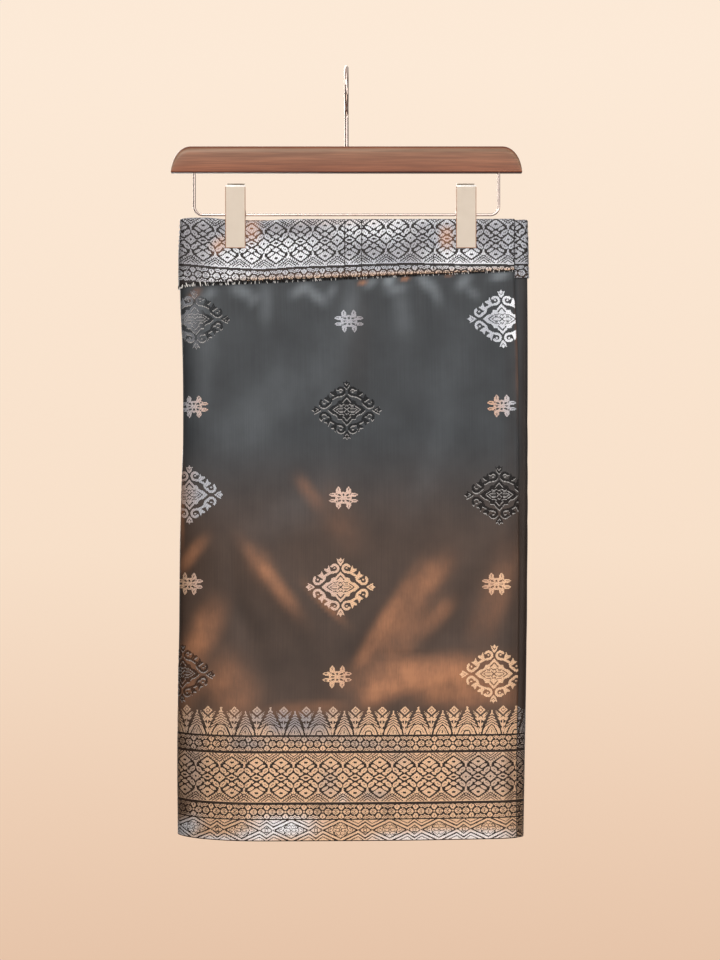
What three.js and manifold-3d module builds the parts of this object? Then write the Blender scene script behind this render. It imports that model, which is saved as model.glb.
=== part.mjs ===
// A samping: a ready-to-wear songket waist wrap, hanging folded from a wooden clip hanger.
// Millimetres, +Z up, X to the right seen from the front, Y away from the viewer.
// The origin is the inside top of the hook, where it sits on a rail. "drop" is the distance below it.
//
// The wrap is one long cloth rolled flat in three stretches. From its free right edge the flap runs
// left across the front, turns at the left fold, runs right along the back, turns at the right fold
// and runs left again between the two. A patterned strip is folded over its top edge all the way.
// Each stretch and fold is a plain ground above and a woven border below.
import * as THREE from "three";
import { mergeVertices } from "three/addons/utils/BufferGeometryUtils.js";
import Module from "manifold-3d";

// ---- Driving dimensions ----

const CLOTH = 1.0; // wall of the cloth and of the waistband strip
const GAP = 0.3; // between pieces that touch
const PANEL_TOP = 166.8; // drop of the cloth's own top edge, inside the waistband's fold
const HEM = 832;
const BORDER_TOP = 686; // drop where the plain ground meets the woven hem border
const CUT_WIDTH = 1092; // the cloth laid flat, from its free edge to its hidden edge

const BAR = { length: 380, height: 28.6, depth: 15, top: 82.6, end: 21, round: 6, ease: 1.2 };
const HOOK = { wire: 4.5, inner: 20, bend: 12, mouth: 25, sunk: 14 };
const FRAME = { wire: 3, half: 165, corner: 9, drop: 156.6, sunk: 11 };
const BORE_PLAY = 0.35; // round a wire in its hole
const BORE_PAST = 2; // a hole runs on past its wire
const CLIP = {
  width: 21.8,
  sheet: 0.9,
  front_top: 125.5,
  back_top: 121.5,
  tip: 193.3,
  spread: 10, // from the wire to a plate's outer face at its top
  flange: 2.6,
  jaw: 6.15, // from the middle to a jaw's inner face
  lug: 4.2,
};
const SPRING = { half: 8, outer: 3.6 };
const CLIPS = [
  { name: "clip_left", x: -120.1 },
  { name: "clip_right", x: 129.4 },
];

// How the folded wrap hangs, one row for each height.
// left, right: the outermost line of each fold; edge: the flap's free edge;
// front, back: from the middle plane to the flap and to the back, at the left and right;
// round: how far in from its outermost line each fold is curved;
// apart: from the flap to the stretch under it.
const SECTION_COLUMNS = [
  "drop", "left", "edge", "right",
  "front_left", "front_right", "back_left", "back_right",
  "round_left", "round_right", "apart",
];
const SECTIONS = [
  [158, -178.8, 182.0, 195.0, 5, 5, 5, 5, 8, 4, 4],
  [200, -180.8, 182.0, 196.0, 5, 5, 5, 5, 9, 4, 4],
  [245, -180.2, 182.6, 196.2, 6, 5.6, 6, 5.4, 13, 5.5, 4],
  [310, -177.4, 185.3, 196.2, 9, 7, 8, 6.5, 24, 9, 2.6],
  [390, -177.0, 186.2, 196.2, 12.5, 9, 11, 8, 38, 15, 2.2],
  [500, -180.0, 186.6, 196.0, 17, 12, 16, 11, 52, 22, 2.2],
  [620, -181.4, 186.4, 195.0, 21.5, 15, 21, 14, 63, 28, 2.2],
  [740, -183.0, 184.0, 193.0, 25, 18, 25, 17, 70, 32, 2.2],
  [834, -182.4, 183.6, 191.4, 27, 20, 28, 19, 74, 34, 2.2],
].map((row) => Object.fromEntries(row.map((value, i) => [SECTION_COLUMNS[i], value])));

// The clips pinch the stack of cloth: how much, and how far round a jaw.
const PINCH = { depth: 1.0, drop: 178, across: 30, down: 36 };

// Soft creases in the satin. x, drop: the middle; lean: degrees from upright, clockwise seen from
// the front; half: half the length; wide: half the width; rise: out of the cloth, or in if negative.
const FLAP_CREASES = [
  { x: -84, drop: 548, lean: -38, half: 62, wide: 17, rise: 2.4 },
  { x: -122, drop: 575, lean: -24, half: 74, wide: 16, rise: -1.8 },
  { x: 104, drop: 575, lean: 34, half: 80, wide: 18, rise: 2.6 },
  { x: 62, drop: 610, lean: 48, half: 70, wide: 20, rise: -1.8 },
  { x: 96, drop: 655, lean: 70, half: 80, wide: 22, rise: 1.8 },
  { x: -146, drop: 640, lean: -12, half: 70, wide: 18, rise: 1.8 },
  { x: -20, drop: 330, lean: 8, half: 90, wide: 34, rise: -1.6 },
  { x: 84, drop: 380, lean: -10, half: 110, wide: 30, rise: 1.4 },
];
const BACK_CREASES = [
  { x: -70, drop: 430, lean: 26, half: 120, wide: 24, rise: 2.2 },
  { x: 40, drop: 560, lean: -30, half: 110, wide: 22, rise: -2.0 },
  { x: 110, drop: 620, lean: -14, half: 90, wide: 20, rise: 2.2 },
  { x: -120, drop: 660, lean: 40, half: 80, wide: 20, rise: -1.6 },
  { x: 10, drop: 300, lean: 12, half: 70, wide: 26, rise: 1.4 },
];

// The folds draw the cloth up: how far at the hem, by the way along the cloth, and what share of
// that by drop, level across the seam above the border.
const HEM_RISE = [
  { way: 0, rise: 2.1 },
  { way: 0.2, rise: 1.1 },
  { way: 0.45, rise: 0.2 },
  { way: 0.8, rise: 0 },
  { way: 1, rise: 0.2 },
  { way: 1.2, rise: 1.8 },
  { way: 1.5, rise: 4.6 },
  { way: 1.8, rise: 1.8 },
  { way: 2, rise: 0.2 },
  { way: 2.6, rise: 0 },
  { way: 3, rise: 0.9 },
  { way: 3.5, rise: 2.1 },
  { way: 4, rise: 1.6 },
  { way: 5, rise: 0 },
];
const RISE_SHARE = [
  { drop: 560, share: 0 },
  { drop: 680, share: 0.4 },
  { drop: 692, share: 0.4 },
  { drop: 832, share: 1 },
];

// The waistband's top line along the flap, which dips beside the left clip.
const TOP_LINE = [
  { x: -190, drop: 161.4 },
  { x: -152, drop: 160.2 },
  { x: -134, drop: 161.8 },
  { x: -106, drop: 164.2 },
  { x: -88, drop: 163.8 },
  { x: -68, drop: 162.0 },
  { x: 0, drop: 161.8 },
  { x: 190, drop: 161.5 },
];
const BACK_TOP = 162;
const UNDER_TOP = 162.5;
// Drop of the strip's slanting lower edge: at the flap's free edge, the two folds and the hidden edge.
const LOWER = { edge: 217.8, left: 239, right: 227, hidden: 226 };
const INNER_LEG = 26; // of the strip, behind the cloth
const LOWER_FLARE = 0.5; // how much the lower edge stands off

// Tucks pressed into the waistband's face: x, the share of its height from..to, depth.
const TUCKS = [
  { x: -84.8, from: 0.1, to: 1, depth: 0.3 },
  { x: -68.6, from: 0.2, to: 0.9, depth: 0.25 },
  { x: -56.7, from: 0.4, to: 1, depth: 0.25 },
  { x: -1.6, from: 0, to: 1, depth: 0.5 },
  { x: 16.7, from: 0, to: 1, depth: 0.5 },
  { x: 38.3, from: 0.3, to: 0.8, depth: 0.35 },
  { x: 61, from: 0, to: 1, depth: 0.4 },
  { x: 94.5, from: 0.4, to: 1, depth: 0.5 },
  { x: 102, from: 0.4, to: 1, depth: 0.3 },
];
const TUCK_HALF = 1.5; // half the width of a tuck's groove

// ---- Materials ----

const surface = (color, roughness, metalness) =>
  new THREE.MeshStandardMaterial({ color, roughness, metalness });
const SATIN = surface("#4a4746", 0.45, 0.1);
const SONGKET = surface("#aaa5a3", 0.4, 0.4);
const WALNUT = surface("#6d4233", 0.5, 0);
const ROSE_WIRE = surface("#c9ab9b", 0.2, 1);
const CLIP_SHEET = surface("#d6c8b6", 0.35, 0.9);
const SPRING_STEEL = surface("#9a9590", 0.35, 1);

// ---- The hanging shape ----

const clamp = (v, low, high) => Math.min(high, Math.max(low, v));
const mix = (a, b, t) => a + (b - a) * t;
const ease = (t) => t * t * (3 - 2 * t);
// Evenly spaced values, both ends included.
const spaced = (from, to, count) =>
  Array.from({ length: count + 1 }, (_, i) => mix(from, to, i / count));

// A smooth curve through one column of a table, by another column.
function along(table, by, column, at) {
  const last = table.length - 1;
  const next = table.findIndex((row) => row[by] > at);
  const i = next < 0 ? last - 1 : clamp(next - 1, 0, last - 1);
  const [a, b] = [table[i], table[i + 1]];
  const before = table[Math.max(i - 1, 0)];
  const after = table[Math.min(i + 2, last)];
  const span = b[by] - a[by];
  const t = clamp((at - a[by]) / span, 0, 1);
  const slope = (p, q) => ((q[column] - p[column]) / (q[by] - p[by])) * span;
  const [m0, m1] = [slope(before, b), slope(a, after)];
  const t2 = t * t;
  const t3 = t2 * t;
  return (
    (2 * t3 - 3 * t2 + 1) * a[column] +
    (t3 - 2 * t2 + t) * m0 +
    (3 * t2 - 2 * t3) * b[column] +
    (t3 - t2) * m1
  );
}

// One height of the wrap, with every column of SECTIONS read at that drop.
const sections = new Map();
function section(drop) {
  if (!sections.has(drop)) {
    const row = { drop };
    for (const column of SECTION_COLUMNS.slice(1))
      row[column] = along(SECTIONS, "drop", column, drop);
    sections.set(drop, row);
  }
  return sections.get(drop);
}

function creased(creases, x, drop) {
  return creases.reduce((sum, c) => {
    const lean = THREE.MathUtils.degToRad(c.lean);
    const [dx, dz] = [x - c.x, c.drop - drop];
    const down = dx * Math.sin(lean) + dz * Math.cos(lean);
    const across = dx * Math.cos(lean) - dz * Math.sin(lean);
    return sum + c.rise * Math.exp(-((down / c.half) ** 2) - (across / c.wide) ** 2);
  }, 0);
}

const pinch = (x, drop) =>
  CLIPS.reduce((sum, clip) => {
    const across = (x - clip.x) / PINCH.across;
    const down = (drop - PINCH.drop) / PINCH.down;
    return sum + PINCH.depth * Math.exp(-(across ** 4) - down ** 4);
  }, 0);

// From the middle plane to the flap, and to the back.
function depth(s, x, side) {
  const share = ease(clamp((x - s.left) / (s.right - s.left), 0, 1));
  const flat = mix(s[side + "_left"], s[side + "_right"], share);
  const creases = side === "front" ? FLAP_CREASES : BACK_CREASES;
  return flat - pinch(x, s.drop) + creased(creases, x, s.drop);
}

const flatStart = (s) => s.left + s.round_left;
const flatEnd = (s) => s.right - s.round_right;
const underDepth = (s, x) => depth(s, x, "front") - s.apart;

// A fold as a half ellipse between the stretches at y0 and y1.
function foldPoint(x0, reach, y0, y1, angle) {
  return [x0 + reach * Math.cos(angle), (y0 + y1) / 2 + ((y1 - y0) / 2) * Math.sin(angle)];
}

// The flap follows the right fold under it down to its free edge.
function flapDepth(s, x) {
  const past = x - flatEnd(s);
  if (past <= 0) return depth(s, x, "front");
  const end = flatEnd(s);
  const radius = (depth(s, end, "back") + underDepth(s, end)) / 2;
  const fallen = radius * (1 - Math.sqrt(1 - Math.min(past / s.round_right, 1) ** 2));
  return depth(s, end, "front") - fallen;
}

// The under stretch drifts off the flap towards its hidden edge, more the lower it hangs.
const DRIFT = { depth: 5, across: 300, from: 260, to: 660 };
function underPoint(s, x) {
  const across = clamp((flatEnd(s) - x) / DRIFT.across, 0, 1);
  const down = clamp((s.drop - DRIFT.from) / (DRIFT.to - DRIFT.from), 0, 1);
  return [x, DRIFT.depth * across * ease(down) - underDepth(s, x)];
}

const flapPoint = (s, x) => [x, -flapDepth(s, x)];
const backPoint = (s, x) => [x, depth(s, x, "back")];

// Where the cloth runs out: what the cut has left after the flap, both folds and the back.
const SHOWN_WAYS = spaced(0, 4, 160);
function hiddenEdge(s) {
  let length = 0;
  let before = pathPoint(s, 0);
  for (const way of SHOWN_WAYS.slice(1)) {
    const now = pathPoint(s, way);
    length += Math.hypot(now[0] - before[0], now[1] - before[1]);
    before = now;
  }
  return flatEnd(s) - (CUT_WIDTH - length);
}

// A point of the cloth's middle at one height. way: 0..1 along the flap from its free edge,
// 1..2 round the left fold, 2..3 along the back, 3..4 round the right fold, 4..5 along the under.
function pathPoint(s, way) {
  const [start, end] = [flatStart(s), flatEnd(s)];
  if (way <= 1) return flapPoint(s, mix(s.edge, start, way));
  if (way <= 2) {
    const [y0, y1] = [-depth(s, start, "front"), depth(s, start, "back")];
    return foldPoint(start, -s.round_left, y0, y1, Math.PI * (way - 1.5));
  }
  if (way <= 3) return backPoint(s, mix(start, end, way - 2));
  if (way <= 4) {
    const [y0, y1] = [depth(s, end, "back"), -underDepth(s, end)];
    return foldPoint(end, s.round_right, y0, y1, Math.PI * (way - 3.5));
  }
  return underPoint(s, mix(end, hiddenEdge(s), way - 4));
}

function lifted(way, drop) {
  if (drop < RISE_SHARE[0].drop) return 0;
  return along(HEM_RISE, "way", "rise", way) * along(RISE_SHARE, "drop", "share", drop);
}

// The cloth's middle and its outward direction.
const STEP = 1e-3;
function clothAt(way, drop) {
  const s = section(drop);
  const [x, y] = pathPoint(s, way);
  const low = clamp(way - STEP, 0, 5);
  const high = clamp(way + STEP, 0, 5);
  const [ax, ay] = pathPoint(s, low);
  const [bx, by] = pathPoint(s, high);
  const out = new THREE.Vector3(ay - by, bx - ax, 0).normalize();
  return { at: new THREE.Vector3(x, y, lifted(way, drop) - drop), out };
}

// ---- Meshes ----

function geometryOf(points, faces) {
  const geometry = new THREE.BufferGeometry().setFromPoints(points);
  geometry.setIndex(faces);
  geometry.computeVertexNormals();
  return geometry;
}

// A closed wall from two equal grids, face and lining, each a list of columns.
function wall(face, lining) {
  const rows = face[0].length;
  const columns = face.length;
  const points = [...face.flat(), ...lining.flat()];
  const back = rows * columns;
  const id = (column, row, side) => side * back + column * rows + row;
  const faces = [];
  const quad = (a, b, c, d) => faces.push(a, b, c, a, c, d);
  for (let c = 0; c < columns - 1; c++)
    for (let r = 0; r < rows - 1; r++) {
      quad(id(c, r, 0), id(c + 1, r, 0), id(c + 1, r + 1, 0), id(c, r + 1, 0));
      quad(id(c, r, 1), id(c, r + 1, 1), id(c + 1, r + 1, 1), id(c + 1, r, 1));
    }
  for (let c = 0; c < columns - 1; c++) {
    quad(id(c, 0, 1), id(c + 1, 0, 1), id(c + 1, 0, 0), id(c, 0, 0));
    quad(id(c, rows - 1, 0), id(c + 1, rows - 1, 0), id(c + 1, rows - 1, 1), id(c, rows - 1, 1));
  }
  for (let r = 0; r < rows - 1; r++) {
    quad(id(0, r, 0), id(0, r + 1, 0), id(0, r + 1, 1), id(0, r, 1));
    const end = columns - 1;
    quad(id(end, r, 1), id(end, r + 1, 1), id(end, r + 1, 0), id(end, r, 0));
  }
  return geometryOf(points, faces);
}

const SEAM = 0.0009; // a share of a long stretch, worth GAP between two neighbours
const STRETCHES = {
  front: [0, 0.02, 0.05, 0.09, ...spaced(0.14, 1 - SEAM, 14)],
  left_fold: spaced(1, 2, 10),
  back: spaced(2 + SEAM, 3 - SEAM, 14),
  right_fold: spaced(3, 4, 10),
  under: spaced(4 + SEAM, 5, 14),
};
const GROUND_DROPS = [PANEL_TOP, 190, 215, ...spaced(240, BORDER_TOP - GAP / 2, 13)];
const BORDER_DROPS = spaced(BORDER_TOP + GAP / 2, HEM, 4);

function panel(ways, drops) {
  const side = (out) =>
    ways.map((way) =>
      drops.map((drop) => {
        const cloth = clothAt(way, drop);
        return cloth.at.addScaledVector(cloth.out, out * (CLOTH / 2));
      }),
    );
  return wall(side(1), side(-1));
}

// Drop of the waistband's top and of its lower edge, by the place along the cloth.
const WAIST = section(200);
function topOf(way) {
  if (way > 4) return UNDER_TOP;
  if (way > 2) return BACK_TOP;
  const line = along(TOP_LINE, "x", "drop", pathPoint(WAIST, way)[0]);
  return way > 1 ? mix(line, BACK_TOP, way - 1) : line;
}

function lowerOf(way) {
  if (way <= 1.5) return mix(LOWER.edge, LOWER.left, way / 1.5);
  if (way <= 3.5) return mix(LOWER.left, LOWER.right, (way - 1.5) / 2);
  return mix(LOWER.right, LOWER.hidden, (way - 3.5) / 1.5);
}

// The share of a tuck's depth at this place of the waistband's face.
function tuckDepth(x, share) {
  return TUCKS.reduce((deepest, tuck) => {
    const near = 1 - Math.abs(x - tuck.x) / TUCK_HALF;
    if (near <= 0 || share < tuck.from - 0.01 || share > tuck.to + 0.01) return deepest;
    return Math.max(deepest, tuck.depth * near);
  }, 0);
}

const LEG_OFF = CLOTH + GAP; // from the cloth's middle to a leg's middle
const FACE_ROWS = [0.12, 0.3, 0.4, 0.6, 0.8, 0.92, 1];

// The folded strip's own section, from the inner leg's end over the top to the lower edge:
// off, from the cloth's middle; drop; and the direction that its outer side faces.
function stripSection(way) {
  const top = topOf(way);
  const roll = top + LEG_OFF + CLOTH / 2;
  const legs = [
    { off: -LEG_OFF, drop: roll + INNER_LEG, faces: Math.PI },
    { off: -LEG_OFF, drop: roll + INNER_LEG / 2, faces: Math.PI },
  ];
  for (const angle of spaced(Math.PI, 0, 4))
    legs.push({
      off: LEG_OFF * Math.cos(angle),
      drop: roll - LEG_OFF * Math.sin(angle),
      faces: angle,
    });
  for (const share of FACE_ROWS) {
    const flare = LOWER_FLARE * clamp((share - 0.6) / 0.4, 0, 1) ** 2;
    legs.push({ off: LEG_OFF + flare, drop: mix(roll, lowerOf(way), share), faces: 0, share });
  }
  return legs;
}

function waistband(ways) {
  const side = (out) =>
    ways.map((way) =>
      stripSection(way).map(({ off, drop, faces, share }) => {
        const cloth = clothAt(way, drop);
        const pressed = out > 0 && share && way < 1 ? tuckDepth(cloth.at.x, share) : 0;
        const reach = off + out * (CLOTH / 2) * Math.cos(faces) - pressed;
        const up = out * (CLOTH / 2) * Math.sin(faces);
        return cloth.at.addScaledVector(cloth.out, reach).add(new THREE.Vector3(0, 0, up));
      }),
    );
  return wall(side(1), side(-1));
}

// The waistband's columns round each fold and along it, with three at each of the flap's tucks
// and none crowding them.
const CLOSEST_WAYS = 0.012;
function tuckedWays() {
  const wayOf = (x) => (WAIST.edge - x) / (WAIST.edge - flatStart(WAIST));
  const tucked = TUCKS.flatMap(({ x }) => [x - TUCK_HALF, x, x + TUCK_HALF].map(wayOf));
  const clear = (way) => tucked.every((other) => Math.abs(way - other) > CLOSEST_WAYS);
  return [...STRETCHES.front.filter(clear), ...tucked].sort((a, b) => a - b);
}
const WAISTBANDS = {
  waistband_front: [...tuckedWays(), ...STRETCHES.left_fold],
  waistband_back: [...STRETCHES.back, ...STRETCHES.right_fold.slice(0, -1), 4 - SEAM],
  waistband_under: [4 + SEAM, ...STRETCHES.under.slice(1)],
};

// A closed body through equal rings, with a fan from the middle of each end.
function loft(rings) {
  const sides = rings[0].length;
  const middle = (ring) =>
    ring.reduce((sum, point) => sum.add(point), new THREE.Vector3()).divideScalar(sides);
  const last = rings.length - 1;
  const points = [...rings.flat(), middle(rings[0]), middle(rings[last])];
  const [startCap, endCap] = [points.length - 2, points.length - 1];
  const id = (i, k) => i * sides + (k % sides);
  const faces = [];
  for (let k = 0; k < sides; k++) {
    for (let i = 0; i < last; i++)
      faces.push(
        id(i, k), id(i, k + 1), id(i + 1, k + 1),
        id(i, k), id(i + 1, k + 1), id(i + 1, k),
      );
    faces.push(startCap, id(0, k + 1), id(0, k));
    faces.push(endCap, id(last, k), id(last, k + 1));
  }
  return geometryOf(points, faces);
}

// A round rod along a polyline that lies in one plane, with a domed far end.
function rod(points, radius, sides, planeNormal) {
  const last = points.length - 1;
  const direction = (i) =>
    points[Math.min(i + 1, last)].clone().sub(points[Math.max(i - 1, 0)]).normalize();
  const ring = (centre, heading, r) => {
    const across = new THREE.Vector3().crossVectors(planeNormal, heading).normalize();
    return Array.from({ length: sides }, (_, k) => {
      const turn = (2 * Math.PI * k) / sides;
      return centre
        .clone()
        .addScaledVector(across, r * Math.cos(turn))
        .addScaledVector(planeNormal, r * Math.sin(turn));
    });
  };
  const rings = points.map((point, i) => ring(point, direction(i), radius));
  const heading = direction(last);
  for (const rise of [30, 60, 85].map(THREE.MathUtils.degToRad)) {
    const centre = points[last].clone().addScaledVector(heading, radius * Math.sin(rise));
    rings.push(ring(centre, heading, radius * Math.cos(rise)));
  }
  return loft(rings);
}

// ---- Booleans ----

const wasm = await Module();
wasm.setup();

function solid(geometry) {
  const bare = geometry.clone();
  bare.deleteAttribute("normal");
  bare.deleteAttribute("uv");
  const merged = mergeVertices(bare, 1e-4);
  return new wasm.Manifold(
    new wasm.Mesh({
      numProp: 3,
      vertProperties: new Float32Array(merged.getAttribute("position").array),
      triVerts: new Uint32Array(merged.index.array),
    }),
  );
}

function fromSolid(made) {
  const mesh = made.getMesh();
  const geometry = new THREE.BufferGeometry();
  geometry.setAttribute("position", new THREE.BufferAttribute(mesh.vertProperties, 3));
  geometry.setIndex(new THREE.BufferAttribute(mesh.triVerts, 1));
  geometry.computeVertexNormals();
  return geometry;
}

// ---- The hanger ----

// A drill for an upright hole, its middle at this drop.
function upright(radius, length, x, drop) {
  const drill = new THREE.CylinderGeometry(radius, radius, length, 14);
  return drill.rotateX(Math.PI / 2).translate(x, 0, -drop);
}

// The wooden bar: flat below, rounded over its top, its ends quarter ellipses.
function barSection(x, height) {
  const half = BAR.depth / 2;
  const round = { across: BAR.round, up: Math.min(BAR.round * 1.3, height * 0.7) };
  const edge = Math.min(BAR.ease, height * 0.2);
  const corner = (side, angle) => [
    side * (half - round.across) + round.across * Math.cos(angle),
    height - round.up + round.up * Math.sin(angle),
  ];
  const outline = [
    [-half, edge],
    [edge - half, 0],
    [half - edge, 0],
    [half, edge],
    ...spaced(0, Math.PI / 2, 4).map((angle) => corner(1, angle)),
    ...spaced(Math.PI / 2, Math.PI, 4).map((angle) => corner(-1, angle)),
  ];
  return outline.map(([y, z]) => new THREE.Vector3(x, y, z - BAR.top - BAR.height));
}

// The bar bored for the hook and for both ends of the wire.
function hangerBar() {
  const flat = BAR.length / 2 - BAR.end;
  const turns = [0, 20, 38, 52, 64, 74, 82, 87].map(THREE.MathUtils.degToRad);
  const end = (side) =>
    turns.map((turn) =>
      barSection(side * (flat + BAR.end * Math.sin(turn)), BAR.height * Math.cos(turn)),
    );
  const blank = loft([...end(-1).reverse(), ...end(1)]);
  const bottom = BAR.top + BAR.height;
  const shank = upright(HOOK.wire / 2 + BORE_PLAY, 2 * (HOOK.sunk + BORE_PAST), 0, BAR.top);
  const leg = (side) =>
    upright(FRAME.wire / 2 + BORE_PLAY, 2 * (FRAME.sunk + BORE_PAST), side * FRAME.half, bottom);
  const drills = [shank, leg(-1), leg(1)].map(solid);
  return fromSolid(drills.reduce((bored, drill) => bored.subtract(drill), solid(blank)));
}

// A path's points, each apart from the one before.
function pointsOf(path, divisions) {
  const points = path.getPoints(divisions);
  return points.filter((point, i) => i === 0 || point.distanceTo(points[i - 1]) > 0.01);
}

// The hook bends forward off its shank, over the rail and down behind it.
function hook() {
  const ring = HOOK.inner + HOOK.wire / 2;
  const rise = Math.sqrt((ring + HOOK.bend) ** 2 - HOOK.bend ** 2);
  const meet = Math.atan2(rise, HOOK.bend);
  const line = new THREE.Path();
  line.moveTo(0, -(BAR.top + HOOK.sunk));
  line.lineTo(0, -BAR.top);
  line.absarc(-HOOK.bend, -HOOK.inner - rise, HOOK.bend, 0, meet, false);
  line.absarc(0, -HOOK.inner, ring, meet + Math.PI, THREE.MathUtils.degToRad(-HOOK.mouth), true);
  const points = pointsOf(line, 12).map(({ x, y }) => new THREE.Vector3(0, x, y));
  return rod(points, HOOK.wire / 2, 10, new THREE.Vector3(1, 0, 0));
}

// The bent wire under the bar, on which the clips slide.
function wireFrame() {
  const { half, corner } = FRAME;
  const line = new THREE.Path();
  const inBar = -(BAR.top + BAR.height - FRAME.sunk);
  line.moveTo(-half, inBar);
  line.lineTo(-half, corner - FRAME.drop);
  line.absarc(corner - half, corner - FRAME.drop, corner, Math.PI, 1.5 * Math.PI, false);
  line.absarc(half - corner, corner - FRAME.drop, corner, 1.5 * Math.PI, 2 * Math.PI, false);
  line.lineTo(half, inBar);
  const points = pointsOf(line, 4).map(({ x, y }) => new THREE.Vector3(x, 0, y));
  return rod(points, FRAME.wire / 2, 8, new THREE.Vector3(0, 1, 0));
}

// An outline given in (distance from the wire, drop), cut across the clip's width.
function clipSheet(outline, from, to) {
  const made = new THREE.ExtrudeGeometry(outline, {
    depth: to - from,
    bevelEnabled: false,
    curveSegments: 8,
  });
  return made.rotateX(Math.PI / 2).rotateZ(Math.PI / 2).translate(from, 0, 0);
}

// One plate of a clip: a tray bent from sheet, with two lugs that turn on the wire.
// It is drawn in front of the wire; the back one is turned about.
function clipPlate(x, width, top, front) {
  const { sheet, spread, flange, jaw, lug, tip } = CLIP;
  const shoulder = FRAME.drop + lug;
  const end = jaw + sheet;
  const outerAt = (drop) => mix(spread, end, (drop - CLIP.front_top) / (tip - CLIP.front_top));
  const face = new THREE.Shape();
  const high = outerAt(top);
  face.setFromPoints(
    [
      [high, top],
      [end, tip],
      [jaw, tip],
      [high - sheet, top + sheet],
      [high - flange, top + sheet],
      [high - flange, top],
    ].map(([out, drop]) => new THREE.Vector2(-out, -drop)),
  );
  const cheek = new THREE.Shape();
  cheek.moveTo(-high, -top);
  cheek.lineTo(-end, -tip);
  cheek.lineTo(-jaw, -tip);
  cheek.lineTo(-jaw, -shoulder);
  cheek.lineTo(0, -shoulder);
  cheek.absarc(0, -FRAME.drop, lug, -Math.PI / 2, Math.PI / 2, false);
  cheek.lineTo(flange - outerAt(FRAME.drop - lug), lug - FRAME.drop);
  cheek.lineTo(flange - high, -top);
  const bore = new THREE.Path();
  bore.absarc(0, -FRAME.drop, FRAME.wire / 2 + BORE_PLAY, 0, 2 * Math.PI, true);
  cheek.holes.push(bore);
  const half = width / 2;
  const made = solid(clipSheet(face, -half, half))
    .add(solid(clipSheet(cheek, -half, sheet - half)))
    .add(solid(clipSheet(cheek, half - sheet, half)));
  const geometry = fromSolid(made);
  if (!front) geometry.rotateZ(Math.PI);
  return geometry.translate(x, 0, 0);
}

// The coil spring that closes a clip, as the ring that its turns fill.
function clipSpring(x) {
  const inner = FRAME.wire / 2 + BORE_PLAY;
  const outline = [
    [inner, -SPRING.half],
    [SPRING.outer, -SPRING.half],
    [SPRING.outer, SPRING.half],
    [inner, SPRING.half],
    [inner, -SPRING.half],
  ].map(([radius, y]) => new THREE.Vector2(radius, y));
  return new THREE.LatheGeometry(outline, 16).rotateZ(Math.PI / 2).translate(x, 0, -FRAME.drop);
}

// ---- The scene graph ----

const group = new THREE.Group();

function add(name, geometry, material) {
  const mesh = new THREE.Mesh(geometry, material);
  mesh.name = name;
  group.add(mesh);
}

for (const [name, ways] of Object.entries(STRETCHES)) {
  add(name + "_ground", panel(ways, GROUND_DROPS), SATIN);
  add(name + "_border", panel(ways, BORDER_DROPS), SONGKET);
}
for (const [name, ways] of Object.entries(WAISTBANDS)) add(name, waistband(ways), SONGKET);
add("hanger_bar", hangerBar(), WALNUT);
add("hook", hook(), ROSE_WIRE);
add("wire_frame", wireFrame(), ROSE_WIRE);
const backWidth = CLIP.width - 2 * (CLIP.sheet + GAP);
for (const { name, x } of CLIPS) {
  add(name + "_front", clipPlate(x, CLIP.width, CLIP.front_top, true), CLIP_SHEET);
  add(name + "_back", clipPlate(x, backWidth, CLIP.back_top, false), CLIP_SHEET);
  add(name + "_spring", clipSpring(x), SPRING_STEEL);
}

export default group;
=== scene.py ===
"""A samping, the songket waist wrap, folded flat on a wooden clip hanger.

Sizes are in millimetres until a mesh is made. "drop" is the distance below the hook's inside top,
"u" the distance along the cloth from its free edge, the way it was woven.
"""

import bmesh
import bpy
import numpy as np
from mathutils import Matrix, Vector


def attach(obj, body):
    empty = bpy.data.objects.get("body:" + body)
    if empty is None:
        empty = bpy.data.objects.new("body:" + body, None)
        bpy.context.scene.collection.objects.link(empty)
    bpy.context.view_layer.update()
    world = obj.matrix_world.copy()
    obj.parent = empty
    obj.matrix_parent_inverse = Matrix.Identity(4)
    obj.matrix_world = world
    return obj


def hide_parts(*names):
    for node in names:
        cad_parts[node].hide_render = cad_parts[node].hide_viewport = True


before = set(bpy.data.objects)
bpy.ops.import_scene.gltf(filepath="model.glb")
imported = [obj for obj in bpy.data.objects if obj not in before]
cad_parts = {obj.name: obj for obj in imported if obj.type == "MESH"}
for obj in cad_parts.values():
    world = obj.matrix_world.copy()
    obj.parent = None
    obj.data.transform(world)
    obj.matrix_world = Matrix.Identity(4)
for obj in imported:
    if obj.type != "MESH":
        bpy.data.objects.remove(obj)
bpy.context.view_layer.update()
MM = 0.001

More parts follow.
